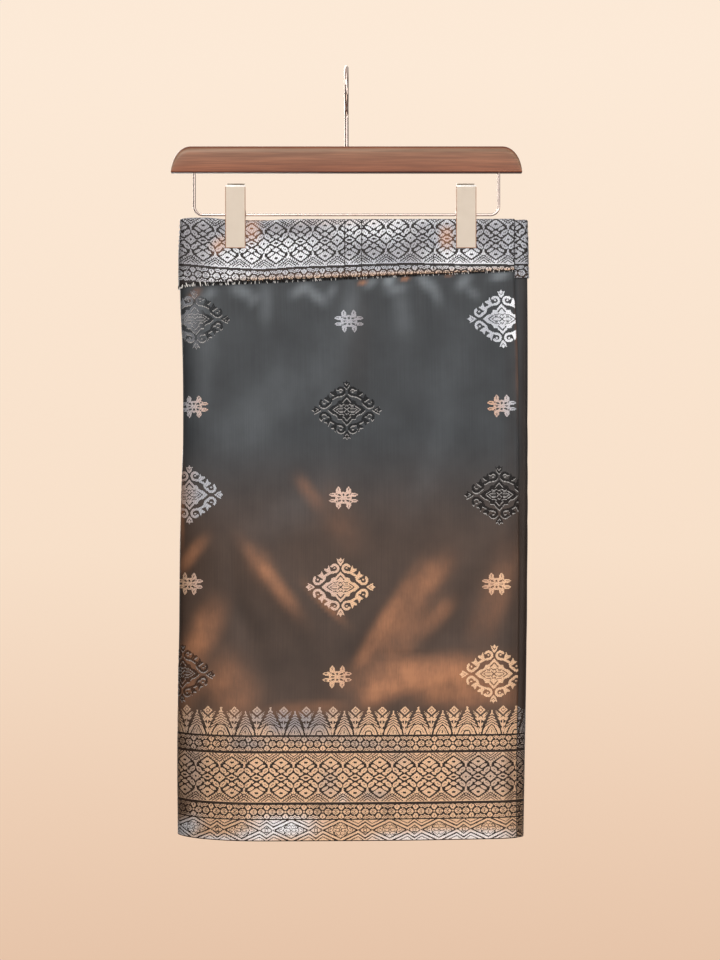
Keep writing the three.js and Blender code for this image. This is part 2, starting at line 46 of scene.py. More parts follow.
# ---- The hanging cloth ----
# One long satin cloth, rolled flat in three stretches. From its free edge at the right the flap runs
# left across the front, turns at the left fold, runs along the back, turns at the right fold and
# runs left again between the two. Dark silk shot with copper, with a raised border woven in.
CUT_WIDTH = 1092.0
PANEL_TOP, HEM = 166.8, 832.0
WALL = 1.0
HANG_COLUMNS = (
    "drop", "left", "edge", "right", "front_left", "front_right",
    "back_left", "back_right", "round_left", "round_right", "apart",
)
HANG = np.array([
    [158, -178.8, 182.0, 195.0, 5, 5, 5, 5, 8, 4, 4],
    [200, -180.8, 182.0, 196.0, 5, 5, 5, 5, 9, 4, 4],
    [245, -180.2, 182.6, 196.2, 6, 5.6, 6, 5.4, 13, 5.5, 4],
    [310, -177.4, 185.3, 196.2, 9, 7, 8, 6.5, 24, 9, 2.6],
    [390, -177.0, 186.2, 196.2, 12.5, 9, 11, 8, 38, 15, 2.2],
    [500, -180.0, 186.6, 196.0, 17, 12, 16, 11, 52, 22, 2.2],
    [620, -181.4, 186.4, 195.0, 21.5, 15, 21, 14, 63, 28, 2.2],
    [740, -183.0, 184.0, 193.0, 25, 18, 25, 17, 70, 32, 2.2],
    [834, -182.4, 183.6, 191.4, 27, 20, 28, 19, 74, 34, 2.2],
])
# x, drop, lean from upright, half length, half width, rise out of the cloth
CREASES = {
    "front": [
        (-84, 548, -38, 62, 17, 2.4), (-122, 575, -24, 74, 16, -1.8), (104, 575, 34, 80, 18, 2.6),
        (62, 610, 48, 70, 20, -1.8), (96, 655, 70, 80, 22, 1.8), (-146, 640, -12, 70, 18, 1.8),
        (-20, 330, 8, 90, 34, -1.6), (84, 380, -10, 110, 30, 1.4),
    ],
    "back": [
        (-70, 430, 26, 120, 24, 2.2), (40, 560, -30, 110, 22, -2.0), (110, 620, -14, 90, 20, 2.2),
        (-120, 660, 40, 80, 20, -1.6), (10, 300, 12, 70, 26, 1.4),
    ],
}
CLIP_XS = (-120.1, 129.4)
PINCH = {"depth": 1.0, "drop": 178, "across": 30, "down": 36}
DRIFT = {"depth": 5, "across": 300, "from": 260, "to": 660}

# The folds draw the cloth up: how far at the hem, by the way along it, and what share of that by drop
HEM_RISE = np.array([
    [0, 2.1], [0.2, 1.1], [0.45, 0.2], [0.8, 0], [1, 0.2], [1.2, 1.8], [1.5, 4.6], [1.8, 1.8],
    [2, 0.2], [2.6, 0], [3, 0.9], [3.5, 2.1], [4, 1.6], [5, 0],
])
RISE_SHARE = np.array([[560, 0], [680, 0.4], [692, 0.4], [832, 1]])


def mix(a, b, share):
    return a + (b - a) * share


def ease(share):
    return share * share * (3 - 2 * share)


def along(places, values, at):
    """A smooth curve through the values at these places."""
    last = len(places) - 1
    i = np.clip(np.searchsorted(places, at, side="right") - 1, 0, last - 1)
    before, after = np.maximum(i - 1, 0), np.minimum(i + 2, last)
    span = places[i + 1] - places[i]
    t = np.clip((at - places[i]) / span, 0, 1)
    m0 = (values[i + 1] - values[before]) / (places[i + 1] - places[before]) * span
    m1 = (values[after] - values[i]) / (places[after] - places[i]) * span
    return (
        (2 * t**3 - 3 * t**2 + 1) * values[i] + (t**3 - 2 * t**2 + t) * m0
        + (3 * t**2 - 2 * t**3) * values[i + 1] + (t**3 - t**2) * m1
    )


def leaning(x, drop, cx, cdrop, lean):
    """Distances along and across a line that leans clockwise from upright."""
    turn = np.radians(lean)
    dx, dz = x - cx, cdrop - drop
    return dx * np.sin(turn) + dz * np.cos(turn), dx * np.cos(turn) - dz * np.sin(turn)


def creased(creases, x, drop):
    total = np.zeros(np.broadcast(x, drop).shape)
    for cx, cdrop, lean, half, wide, rise in creases:
        down, across = leaning(x, drop, cx, cdrop, lean)
        total += rise * np.exp(-((down / half) ** 2) - (across / wide) ** 2)
    return total


def hang_lines(drops, steps=260):
    """x and y of the cloth's middle, a row for each drop, with the way along it from 0 to 5."""
    row = {c: along(HANG[:, 0], HANG[:, k], drops)[:, None] for k, c in enumerate(HANG_COLUMNS)}
    drop = drops[:, None]
    start, end = row["left"] + row["round_left"], row["right"] - row["round_right"]
    share = np.linspace(0, 1, steps)[None, :]

    def depth(x, side):
        sweep = ease(np.clip((x - row["left"]) / (row["right"] - row["left"]), 0, 1))
        flat = mix(row[side + "_left"], row[side + "_right"], sweep)
        for clip_x in CLIP_XS:
            across, down = (x - clip_x) / PINCH["across"], (drop - PINCH["drop"]) / PINCH["down"]
            flat = flat - PINCH["depth"] * np.exp(-(across**4 + down**4))
        return flat + creased(CREASES[side], x, drop)

    def turned(x, reach, y0, y1):
        angle = np.pi * (share - 0.5)
        return x + reach * np.cos(angle), (y0 + y1) / 2 + (y1 - y0) / 2 * np.sin(angle)

    under_end = row["apart"] - depth(end, "front")
    flap_x = mix(row["edge"], start, share)
    past = np.clip((flap_x - end) / row["round_right"], 0, 1)
    fallen = (depth(end, "back") - under_end) / 2 * (1 - np.sqrt(1 - past**2))
    flap = flap_x, fallen - depth(np.minimum(flap_x, end), "front")
    left = turned(start, -row["round_left"], -depth(start, "front"), depth(start, "back"))
    back_x = mix(start, end, share)
    back = back_x, depth(back_x, "back")
    right = turned(end, row["round_right"], depth(end, "back"), under_end)
    shown = [np.concatenate(part, axis=1) for part in zip(flap, left, back, right)]
    length = np.hypot(np.diff(shown[0]), np.diff(shown[1])).sum(axis=1)[:, None]
    under_x = mix(end, end - (CUT_WIDTH - length), share)
    away = np.clip((end - under_x) / DRIFT["across"], 0, 1)
    down = np.clip((drop - DRIFT["from"]) / (DRIFT["to"] - DRIFT["from"]), 0, 1)
    under_y = DRIFT["depth"] * away * ease(down) + row["apart"] - depth(under_x, "front")
    ways = np.concatenate([k + share[0] for k in range(5)])
    return np.hstack([shown[0], under_x]), np.hstack([shown[1], under_y]), ways


# Puckers in the flap just under the waistband: x, half width, length down, rise
PUCKERS = [
    (-166, 7, 34, 0.9), (-149, 5, 46, 1.3), (-115, 6, 40, 1.2), (-92, 5, 26, 0.8),
    (-64, 7, 30, 0.9), (-46, 6, 52, 1.4), (-30, 6, 44, 1.2), (0, 7, 30, 0.8), (23, 6, 50, 1.3),
    (42, 5, 40, 1.2), (64, 6, 30, 0.8), (85, 6, 52, 1.4), (104, 5, 30, 0.9), (126, 6, 44, 1.3),
    (150, 7, 34, 0.9),
]
U_STEP, DROP_STEP = 2.0, 4.0
BAND_DROP = 200.0
US = np.arange(0, CUT_WIDTH + 0.1, U_STEP)
DROPS = np.arange(156, 837, DROP_STEP)
# Drop of the waistband's slanting lower edge, by the way along the cloth
LOWER = np.array([[0, 217.8], [1, 232], [1.5, 236], [2, 233], [3, 225], [3.5, 225], [5, 226]])


def woven_grid():
    """The cloth's middle, evenly spaced along u and down, and the way along it at each point."""
    xs, ys, ways = hang_lines(DROPS)
    points = np.empty((len(DROPS), len(US), 3))
    way = np.empty((len(DROPS), len(US)))
    for i, drop in enumerate(DROPS):
        run = np.concatenate([[0], np.cumsum(np.hypot(np.diff(xs[i]), np.diff(ys[i])))])
        run *= CUT_WIDTH / run[-1]
        points[i, :, 0] = np.interp(US, run, xs[i])
        points[i, :, 1] = np.interp(US, run, ys[i])
        points[i, :, 2] = -drop
        way[i] = np.interp(US, run, ways)
    return points, way


def outward(points):
    out = np.cross(np.gradient(points, axis=1), np.gradient(points, axis=0))
    return out / np.linalg.norm(out, axis=2, keepdims=True)


GRID, WAY = woven_grid()
# The way at the middle of each fold, and at every u near the hem
FLAP_END, BACK_END, UNDER_END = 1.5, 3.5, 5.1
LOW_WAY = WAY[-20]
hem_rise = along(HEM_RISE[:, 0], HEM_RISE[:, 1], WAY)
rise_share = along(RISE_SHARE[:, 0], RISE_SHARE[:, 1], DROPS) * (DROPS > RISE_SHARE[0, 0])
GRID[..., 2] += hem_rise * rise_share[:, None]
lower_grid = np.interp(WAY, LOWER[:, 0], LOWER[:, 1])
below = DROPS[:, None] - lower_grid
ruffle = np.zeros(GRID.shape[:2])
for cx, half, length, rise in PUCKERS:
    ripple = np.exp(-((GRID[..., 0] - cx) / half) ** 2) - 0.35
    fade = np.clip(below / 9, 0, 1) * np.exp(-np.clip(below - 9, 0, None) / length)
    ruffle += rise * ripple * fade * np.exp(-((GRID[..., 0] - cx) / (3.2 * half)) ** 4)
ruffle *= WAY < 1
GRID += outward(GRID) * ruffle[..., None]
OUT = outward(GRID)


def on_cloth(u, drop, off=0.0):
    """Points at these places of the cloth, so far out of its middle."""
    u, drop, off = np.broadcast_arrays(np.asarray(u, float), drop, off)
    c = np.clip(u / U_STEP, 0, len(US) - 1.001)
    r = np.clip((drop - DROPS[0]) / DROP_STEP, 0, len(DROPS) - 1.001)
    ci, ri = c.astype(int), r.astype(int)
    cf, rf = (c - ci)[..., None], (r - ri)[..., None]

    def between(table):
        upper = mix(table[ri, ci], table[ri, ci + 1], cf)
        return mix(upper, mix(table[ri + 1, ci], table[ri + 1, ci + 1], cf), rf)

    return between(GRID) + between(OUT) * off[..., None]


def u_at(x, drop):
    """Where along the cloth the flap crosses this x."""
    line = GRID[int(round((drop - DROPS[0]) / DROP_STEP)), :, 0]
    leftmost = int(np.argmin(line[: len(US) // 2])) + 1
    return float(np.interp(-x, -line[:leftmost], US[:leftmost]))


def way_at(u):
    return np.interp(u, US, WAY[int((BAND_DROP - DROPS[0]) / DROP_STEP)])


def placed(name, data):
    """An object in the scene."""
    piece = bpy.data.objects.new(name, data)
    bpy.context.scene.collection.objects.link(piece)
    return piece


def mesh_of(name, points, corners, counts):
    """A mesh object from points in millimetres and the faces' corner lists."""
    mesh = bpy.data.meshes.new(name)
    mesh.vertices.add(len(points))
    mesh.vertices.foreach_set("co", (np.asarray(points) * MM).astype(np.float32).ravel())
    mesh.loops.add(len(corners))
    mesh.loops.foreach_set("vertex_index", np.asarray(corners, np.int32))
    mesh.polygons.add(len(counts))
    starts = np.concatenate([[0], np.cumsum(counts)[:-1]]).astype(np.int32)
    mesh.polygons.foreach_set("loop_start", starts)
    mesh.update(calc_edges=True)
    mesh.polygons.foreach_set("use_smooth", np.ones(len(counts), bool))
    return placed(name, mesh)


def lay_flat(piece, flat):
    """The weaver's layout as the piece's UV map: flat gives each point's place, from 0 to 1."""
    mesh = piece.data
    corners = np.empty(len(mesh.loops), np.int32)
    mesh.loops.foreach_get("vertex_index", corners)
    layer = mesh.uv_layers.new(name="OFBake")
    layer.data.foreach_set("uv", flat[corners].astype(np.float32).ravel())


# Lays a colour attribute on a piece's points: real colour, and in places painted light
def lay_colour_and_painted_light(piece, name, colours):
    tint = np.concatenate([colours, np.ones((len(colours), 1))], axis=1).astype(np.float32)
    layer = piece.data.attributes.new(name, "FLOAT_COLOR", "POINT")
    layer.data.foreach_set("color", tint.ravel())


def wall_of(name, face, lining):
    """A closed wall between two equal grids of points, rows down and columns along u."""
    rows, columns = face.shape[:2]
    ids = np.arange(rows * columns).reshape(rows, columns)
    back = ids + rows * columns
    quads = [np.stack([ids[:-1, :-1], ids[:-1, 1:], ids[1:, 1:], ids[1:, :-1]], axis=-1)]
    quads.append(np.stack([back[:-1, :-1], back[1:, :-1], back[1:, 1:], back[:-1, 1:]], axis=-1))
    for a, b, forward in (
        (ids[0], back[0], False), (ids[-1], back[-1], True),
        (ids[:, 0], back[:, 0], True), (ids[:, -1], back[:, -1], False),
    ):
        rim = np.stack([a[:-1], b[:-1], b[1:], a[1:]], axis=-1)
        quads.append(rim[:, ::-1] if forward else rim)
    corners = np.concatenate([q.reshape(-1, 4) for q in quads])
    points = np.concatenate([face.reshape(-1, 3), lining.reshape(-1, 3)])
    return mesh_of(name, points, corners.ravel(), np.full(len(corners), 4))


def linear(code):
    """A colour code as the light that it sends back."""
    parts = np.array([int(code[k : k + 2], 16) / 255 for k in (1, 3, 5)])
    return np.where(parts <= 0.04045, parts / 12.92, ((parts + 0.055) / 1.055) ** 2.4)


# The last two colours are painted light: a pale painted highlight and a dark painted shade
SLATE, UMBER, COPPER, PITCH, PAINTED_HIGHLIGHT, PAINTED_SHADE = (
    linear(code) for code in ("#34373a", "#43352d", "#a37050", "#1f120b", "#8b9298", "#271e19")
)


def turned_to(colour, patches, x, drop, edge=1.5):
    """The colour with soft patches of others: colour, x, drop, lean, half length, width, share."""
    for other, cx, cdrop, lean, half, wide, share in patches:
        down, across = leaning(x, drop, cx, cdrop, lean)
        near = share * np.exp(-((down / half) ** 2) ** edge - ((across / wide) ** 2) ** edge)
        colour = mix(colour, other, near[..., None])
    return colour


# Painted light on the flap's silk: painted highlights under the waistband's puckers and in broad
# patches, painted shade at a fold or a sharp crease
FLAP_PAINTED_LIGHT = [
    *((PAINTED_HIGHLIGHT, *place) for place in (
        (-149, 243, 62, 9, 5, 0.3), (-112, 241, -66, 13, 7, 0.36), (-100, 250, 40, 9, 5, 0.2),
        (-50, 238, 58, 12, 6, 0.32), (-34, 244, -52, 15, 6, 0.34), (-16, 240, 30, 9, 5, 0.2),
        (26, 231, 50, 9, 5, 0.36), (46, 227, 18, 9, 6, 0.6), (54, 238, 74, 12, 5, 0.25),
        (84, 229, -38, 12, 6, 0.42), (96, 241, -24, 14, 6, 0.3), (127, 229, 44, 11, 6, 0.36),
        (136, 241, -50, 10, 5, 0.2), (166, 223, 80, 10, 5, 0.55), (-160, 262, 30, 14, 6, 0.24),
        (-88, 252, 0, 26, 7, 0.18), (4, 256, 10, 34, 9, 0.12), (60, 262, -12, 30, 10, 0.14),
        (-96, 372, 40, 60, 26, 0.13), (-14, 300, 20, 60, 22, 0.08), (92, 424, 22, 60, 14, 0.04),
        (108, 330, 8, 60, 20, 0.05), (-60, 480, 60, 50, 20, 0.05), (-150, 300, 4, 60, 10, 0.1),
    )),
    *((PAINTED_SHADE, *place) for place in (
        (-185, 560, 0, 330, 9, 0.75), (14, 300, 4, 60, 14, 0.25), (62, 628, 88, 30, 1.7, 0.6),
        (18, 618, 30, 44, 14, 0.4), (-104, 590, -34, 50, 12, 0.4), (178, 500, 0, 260, 7, 0.35),
        (-40, 640, 0, 40, 30, 0.25),
    )),
]
# Painted light on the back: painted shade at the right fold and a crease, painted highlights in two
# patches
BACK_PAINTED_LIGHT = [
    (PAINTED_SHADE, 192, 520, 0, 420, 8, 0.8), (PAINTED_HIGHLIGHT, -60, 300, 12, 90, 20, 0.15),
    (PAINTED_HIGHLIGHT, 70, 380, -16, 90, 24, 0.14), (PAINTED_SHADE, 0, 560, 30, 120, 26, 0.3),
]
# Where the copper weft shows as painted sheen: x, drop, lean, half length, half width, strength
FLAP_COPPER_SHEEN = [
    (-80, 552, -38, 42, 8, 0.58), (-93, 535, -30, 20, 12, 0.3), (-23, 577, -46, 26, 4.5, 0.5),
    (-167, 525, 38, 22, 7, 0.55), (-156, 614, 24, 36, 15, 0.65), (-126, 668, -30, 34, 26, 0.42),
    (-166, 662, 20, 34, 14, 0.35), (-40, 458, -36, 20, 8, 0.3), (-8, 486, -30, 34, 18, 0.14),
    (42, 598, 32, 60, 9, 0.62), (60, 606, 34, 50, 22, 0.42), (84, 556, 44, 34, 15, 0.5),
    (96, 592, 42, 22, 9, 0.55), (86, 652, 86, 66, 17, 0.95), (36, 670, 60, 26, 15, 0.75),
    (124, 670, 84, 46, 13, 0.6), (142, 678, 88, 44, 14, 0.45), (84, 664, 88, 70, 12, 0.5),
    (160, 570, 20, 50, 16, 0.3), (-164, 243, 50, 7, 4, 0.4), (17, 231, 70, 5, 2, 0.8),
    (64, 226, 70, 5, 2, 0.8), (112, 221, 70, 5, 2, 0.6), (186, 300, 0, 60, 3, 0.3),
    (-40, 690, 86, 50, 8, 0.3), (-178, 480, 0, 40, 3, 0.4),
]
# The same painted copper sheen on the back
BACK_COPPER_SHEEN = [
    (-92, 440, 30, 40, 15, 0.3), (-64, 476, 44, 34, 10, 0.34), (62, 566, -30, 48, 12, 0.55),
    (88, 604, -38, 44, 24, 0.4), (112, 650, -10, 46, 28, 0.55), (-130, 646, 32, 48, 24, 0.6),
    (-96, 606, 40, 40, 9, 0.45), (4, 668, 82, 80, 18, 0.6), (-20, 310, 14, 34, 16, 0.14),
]


UMBER_FROM, UMBER_OVER, BORDER_FROM, BORDER_OVER = 390, 130, 696, 18


def ground_colour(x, drop, way):
    """The ground: slate turning umber below as painted reflection, with patches of painted light, near
    black under the border's thread.
    """
    warmth = ease(np.clip((drop - UMBER_FROM) / UMBER_OVER, 0, 1))
    colour = mix(SLATE, UMBER, warmth[..., None])
    shown, behind = (turned_to(colour, shades, x, drop, 1.2) for shades in (FLAP_PAINTED_LIGHT, BACK_PAINTED_LIGHT))
    colour = np.where((way < FLAP_END)[..., None], shown, behind)
    under_thread = 0.9 * ease(np.clip((drop - BORDER_FROM) / BORDER_OVER, 0, 1))
    return mix(colour, PITCH, under_thread[..., None])


def copper_sheen_share(x, drop, way):
    """How strongly the copper weft shows as painted sheen, from 0 to 1."""
    total = np.zeros(x.shape)
    for sheens, side in ((FLAP_COPPER_SHEEN, way < FLAP_END), (BACK_COPPER_SHEEN, way >= FLAP_END)):
        for cx, cdrop, lean, half, wide, strength in sheens:
            down, across = leaning(x, drop, cx, cdrop, lean)
            near = strength * np.exp(-((down / half) ** 2) ** 1.3 - ((across / wide) ** 2) ** 1.3)
            total = np.maximum(total, near * side) + 0.35 * np.minimum(total, near * side)
    return np.clip(total, 0, 1) * (1 - ease(np.clip((drop - 700) / 14, 0, 1)))


FACE_HALF = 0.48


def cloth_places(us, drops, face_share):
    """The flat layout of a grid: the face in the lower half, the lining above it."""
    flat = np.stack(np.broadcast_arrays(us / CUT_WIDTH, (drops - 150) / (HEM - 140)), axis=-1)
    return flat * np.array([1, FACE_HALF]) + np.array([0, face_share])


wrap_us = np.linspace(0.2, CUT_WIDTH, 300)[None, :]
wrap_drops = np.concatenate([[PANEL_TOP], np.linspace(172, HEM, 147)])[:, None]
wrap_cloth = wall_of(
    "wrap_cloth",
    on_cloth(wrap_us, wrap_drops, WALL / 2),
    on_cloth(wrap_us, wrap_drops, -WALL / 2),
)
middle = on_cloth(wrap_us, wrap_drops)
wrap_way = np.interp(wrap_us, US, LOW_WAY) + 0 * wrap_drops
ground = ground_colour(middle[..., 0], -middle[..., 2], wrap_way).reshape(-1, 3)
copper = copper_sheen_share(middle[..., 0], -middle[..., 2], wrap_way).ravel()
# The silk colour carries the painted light of the patches; the "glow" attribute carries the painted
# copper sheen, weaker on the lining
lay_colour_and_painted_light(wrap_cloth, "silk", np.concatenate([ground, mix(ground, UMBER, 0.5)]))
lay_colour_and_painted_light(wrap_cloth, "glow", np.repeat(np.concatenate([copper, 0.4 * copper])[:, None], 3, axis=1))
lay_flat(wrap_cloth, np.concatenate([
    cloth_places(wrap_us, wrap_drops, 0.005).reshape(-1, 2),
    cloth_places(wrap_us, wrap_drops, 0.505).reshape(-1, 2),
]))


def feed(tree, made, **sockets):
    """Sets a node's sockets, by name or by number, or links them to the outputs given."""
    for key, value in sockets.items():
        socket = made.inputs[int(key[1:])] if key[0] == "_" else made.inputs[key.replace("_", " ")]
        if isinstance(value, bpy.types.NodeSocket):
            tree.links.new(value, socket)
        else:
            socket.default_value = value
    return made


def node(tree, kind, settings=None, **sockets):
    made = tree.nodes.new(kind)
    for key, value in (settings or {}).items():
        setattr(made, key, value)
    return feed(tree, made, **sockets)


def principled(name, **sockets):
    """A material with its shader's own sockets set; returns it with its tree and shader."""
    material = bpy.data.materials.new(name)
    material.use_nodes = True
    tree = material.node_tree
    return material, tree, feed(tree, tree.nodes["Principled BSDF"], **sockets)


def laid_colour_and_painted_light(tree, name="silk"):
    """The colour laid on the piece's points under this name."""
    return node(tree, "ShaderNodeAttribute", {"attribute_name": name}).outputs["Color"]


def laid_out(tree):
    return node(tree, "ShaderNodeUVMap", {"uv_map": "OFBake"}).outputs["UV"]


def in_space(tree):
    return node(tree, "ShaderNodeTexCoord").outputs["Object"]


def noise(tree, place, scale, detail, low, high, least, most):
    """Noise over places stretched by scale, read as a value from least to most."""
    stretched = node(tree, "ShaderNodeMapping", Vector=place, Scale=scale)
    made = node(
        tree, "ShaderNodeTexNoise", Vector=stretched.outputs["Vector"], Scale=1.0, Detail=detail,
    )
    return node(
        tree, "ShaderNodeMapRange", Value=made.outputs["Fac"],
        From_Min=low, From_Max=high, To_Min=least, To_Max=most,
    ).outputs["Result"]


def roughen(tree, shader, height, strength, distance):
    """A fine relief on the surface."""
    relief = node(tree, "ShaderNodeBump", Strength=strength, Distance=distance, Height=height)
    feed(tree, shader, Normal=relief.outputs["Normal"])


def shot_satin():
    """Fine shot satin: slate warp over a copper weft, whose painted sheen shows in clouds and streaks.
    """
    material, tree, shader = principled(
        "shot_satin", Roughness=0.43, Metallic=0.15, Sheen_Weight=0.03, Sheen_Roughness=0.4,
        Specular_IOR_Level=0.26,
    )
    glow = node(tree, "ShaderNodeAttribute", {"attribute_name": "glow"}).outputs["Fac"]
    flat = laid_out(tree)
    warp = noise(tree, flat, (1000, 20, 1), 2.0, 0.25, 0.75, 0.9, 1.1)
    bloom = noise(tree, flat, (30, 34, 1), 4.0, 0.3, 0.7, 0.84, 1.18)
    clouds = noise(tree, flat, (40, 46, 1), 6.0, 0.36, 0.66, 0.62, 1.18)
    grain = noise(tree, flat, (900, 90, 1), 2.0, 0.3, 0.7, 0.86, 1.14)
    weave = noise(tree, flat, (2200, 2600, 1), 1.0, 0.0, 1.0, 0.0, 1.0)

    def product(first, second, clamp=False):
        settings = {"operation": "MULTIPLY", "use_clamp": clamp}
        return node(tree, "ShaderNodeMath", settings, _0=first, _1=second).outputs["Value"]

    tinted = node(
        tree, "ShaderNodeVectorMath", {"operation": "SCALE"},
        _0=laid_colour_and_painted_light(tree), Scale=product(warp, bloom),
    ).outputs["Vector"]
    # The painted copper sheen from the "glow" attribute, broken into clouds and streaks
    weft = product(glow, product(clouds, grain), clamp=True)
    lit = node(
        tree, "ShaderNodeMix", {"data_type": "RGBA"}, _0=weft, _6=tinted, _7=(*COPPER, 1),
    )
    feed(tree, shader, Base_Color=lit.outputs[2])
    roughen(tree, shader, weave, 0.2, 0.0002)
    return material


wrap_cloth.data.materials.append(shot_satin())
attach(wrap_cloth, "root")
STRETCHES = ("front", "left_fold", "back", "right_fold", "under")
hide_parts(*[f"{name}_{part}" for name in STRETCHES for part in ("ground", "border")])

# ---- The waistband strip ----
# A long strip cut from the same border cloth, folded over the wrap's top edge and stitched on, with
# its raw lower edge overlocked. The stitching pulls it into small upright tucks.
LEG_OFF = 1.3
ROLL = LEG_OFF + WALL / 2
INNER_LEG = 26.0
LOWER_FLARE = 0.5
TOP_LINE = np.array([
    [-190, 161.4], [-152, 160.2], [-134, 161.8], [-106, 164.2],
    [-88, 163.8], [-68, 162.0], [0, 161.8], [190, 161.5],
])
BACK_TOP, UNDER_TOP = 162.0, 162.5
# x, share of the face from..to, depth
TUCKS = [
    (-84.8, 0.1, 1, 0.3), (-68.6, 0.2, 0.9, 0.25), (-56.7, 0.4, 1, 0.25), (-1.6, 0, 1, 0.5),
    (16.7, 0, 1, 0.5), (38.3, 0.3, 0.8, 0.35), (61, 0, 1, 0.4), (94.5, 0.4, 1, 0.5),
    (102, 0.4, 1, 0.3),
]
TUCK_HALF, TUCK_EASE = 1.6, 0.08


def top_at(u):
    """Drop of the strip's fold at this place along the cloth."""
    way, x = way_at(u), on_cloth(u, BAND_DROP)[..., 0]
    line = along(TOP_LINE[:, 0], TOP_LINE[:, 1], x)
    line = mix(line, BACK_TOP, np.clip(way - 1, 0, 1))
    return mix(line, UNDER_TOP, np.clip(way - 3.5, 0, 1))


def lower_at(u):
    return np.interp(way_at(u), LOWER[:, 0], LOWER[:, 1])


def tuck_at(u, share):
    """How far a tuck presses the face in."""
    x, way = on_cloth(u, BAND_DROP)[..., 0], way_at(u)
    x, way, share = np.broadcast_arrays(x, way, share)
    deepest = np.zeros(x.shape)
    for at, high, low, depth in TUCKS:
        groove = np.clip(1 - np.abs(x - at) / TUCK_HALF, 0, 1) ** 0.8
        inside = np.clip((share - high) / TUCK_EASE + 1, 0, 1)
        inside = inside * np.clip((low - share) / TUCK_EASE + 1, 0, 1)
        deepest = np.maximum(deepest, depth * groove * inside)
    return deepest * (way < 1)


def on_strip(u, drop, off=0.0):
    """Points on the strip's outer face; above its fold line they go over the fold."""
    u, drop, off = np.broadcast_arrays(np.asarray(u, float), drop, off)
    roll = top_at(u) + ROLL
    share = (drop - roll) / (lower_at(u) - roll)
    flare = LOWER_FLARE * np.clip((share - 0.6) / 0.4, 0, 1) ** 2
    face = ROLL + flare - tuck_at(u, share) + off
    angle = np.clip((roll - drop) / ROLL, 0, np.pi)
    over = drop < roll
    reach = np.where(over, (ROLL + off) * np.cos(angle), face)
    place = np.where(over, roll - (ROLL + off) * np.sin(angle), drop)
    return on_cloth(u, place, reach)


def strip_wall(us):
    """The strip's section at each u: inner leg, fold and face, outer side and inner side."""
    roll = (top_at(us) + ROLL)[None, :]
    lower = lower_at(us)[None, :]
    rows = [(-1.0, roll + INNER_LEG * share, 0.0) for share in (1, 0.5)]
    for angle in np.linspace(np.pi, 0, 9):
        rows.append((np.cos(angle), roll - 0 * lower, np.sin(angle)))
    for share in (0.04, 0.12, 0.2, 0.3, 0.4, 0.5, 0.6, 0.7, 0.8, 0.86, 0.92, 0.97, 1):
        rows.append((1.0, mix(roll, lower, share), share + 10))
    sides = []
    for radius in (ROLL, ROLL - WALL):
        side = []
        for across, drop, bend in rows:
            if bend >= 10:
                share = bend - 10
                flare = LOWER_FLARE * max((share - 0.6) / 0.4, 0) ** 2
                pressed = tuck_at(us, share)[None, :] * (1.0 if radius == ROLL else 0.3)
                side.append(on_cloth(us[None, :], drop, radius + flare - pressed)[0])
            else:
                side.append(on_cloth(us[None, :], drop - radius * bend, radius * across)[0])
        sides.append(np.stack(side))
    return sides


tuck_us = np.ravel([
    u_at(x, BAND_DROP) + TUCK_HALF * np.array([-1, -0.5, 0, 0.5, 1]) for x, *_ in TUCKS
])
strip_us = np.linspace(0.2, CUT_WIDTH, 300)
strip_us = np.sort(np.concatenate([
    strip_us[np.abs(strip_us[:, None] - tuck_us).min(axis=1) > 0.7], tuck_us,
]))
strip_face, strip_lining = strip_wall(strip_us)
waistband_strip = wall_of("waistband_strip", strip_face, strip_lining)
strip_count = strip_face.shape[0] * strip_face.shape[1]
# The strip's ground, with patches of painted copper sheen
strip_ground = turned_to(
    np.broadcast_to(mix(PITCH, SLATE, 0.35), (*strip_face.shape[:2], 3)),
    [(0.55 * COPPER, -102, 174, 0, 13, 9, 0.9), (0.6 * COPPER, -138, 191, 40, 9, 6, 0.8),
     (0.55 * COPPER, 108, 182, 0, 12, 8, 0.9), (0.3 * COPPER, 40, 222, 90, 150, 4, 0.6)],
    strip_face[..., 0], -strip_face[..., 2],
)
lay_colour_and_painted_light(waistband_strip, "silk", np.tile(strip_ground.reshape(-1, 3), (2, 1)))
lay_colour_and_painted_light(waistband_strip, "glow", np.zeros((2 * strip_count, 3)))
strip_rows = np.linspace(0, 1, strip_face.shape[0])[:, None]
strip_flat = np.stack(
    np.broadcast_arrays(strip_us[None, :] / CUT_WIDTH, strip_rows * FACE_HALF), axis=-1,
).reshape(-1, 2)
lay_flat(waistband_strip, np.concatenate([strip_flat, strip_flat + np.array([0, 0.5])]))
waistband_strip.data.materials.append(wrap_cloth.data.materials[0])
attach(waistband_strip, "root")
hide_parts("waistband_front", "waistband_back", "waistband_under")

# ---- The charts of the weave ----
# Songket is woven from charts: a raised metal thread floats over the ground where the chart is
# filled. Each chart gives one unit of a traditional band or motif as simple shapes, in millimetres
# from the unit's middle, on its right half and, but for the shoots, its upper half.


def rhomb(x, y, cx, cy, half, tall):
    return np.abs(x - cx) / half + np.abs(y - cy) / tall < 1


def oval(x, y, cx, cy, half, tall, lean=0):
    turn = np.radians(lean)
    a = (x - cx) * np.cos(turn) + (y - cy) * np.sin(turn)
    b = (y - cy) * np.cos(turn) - (x - cx) * np.sin(turn)
    return (a / half) ** 2 + (b / tall) ** 2 < 1


def stroke(x, y, half, *points):
    near = np.zeros(x.shape, bool)
    for (x0, y0), (x1, y1) in zip(points, points[1:]):
        dx, dy = x1 - x0, y1 - y0
        share = np.clip(((x - x0) * dx + (y - y0) * dy) / (dx * dx + dy * dy), 0, 1)
        near |= np.hypot(x - x0 - share * dx, y - y0 - share * dy) < half
    return near


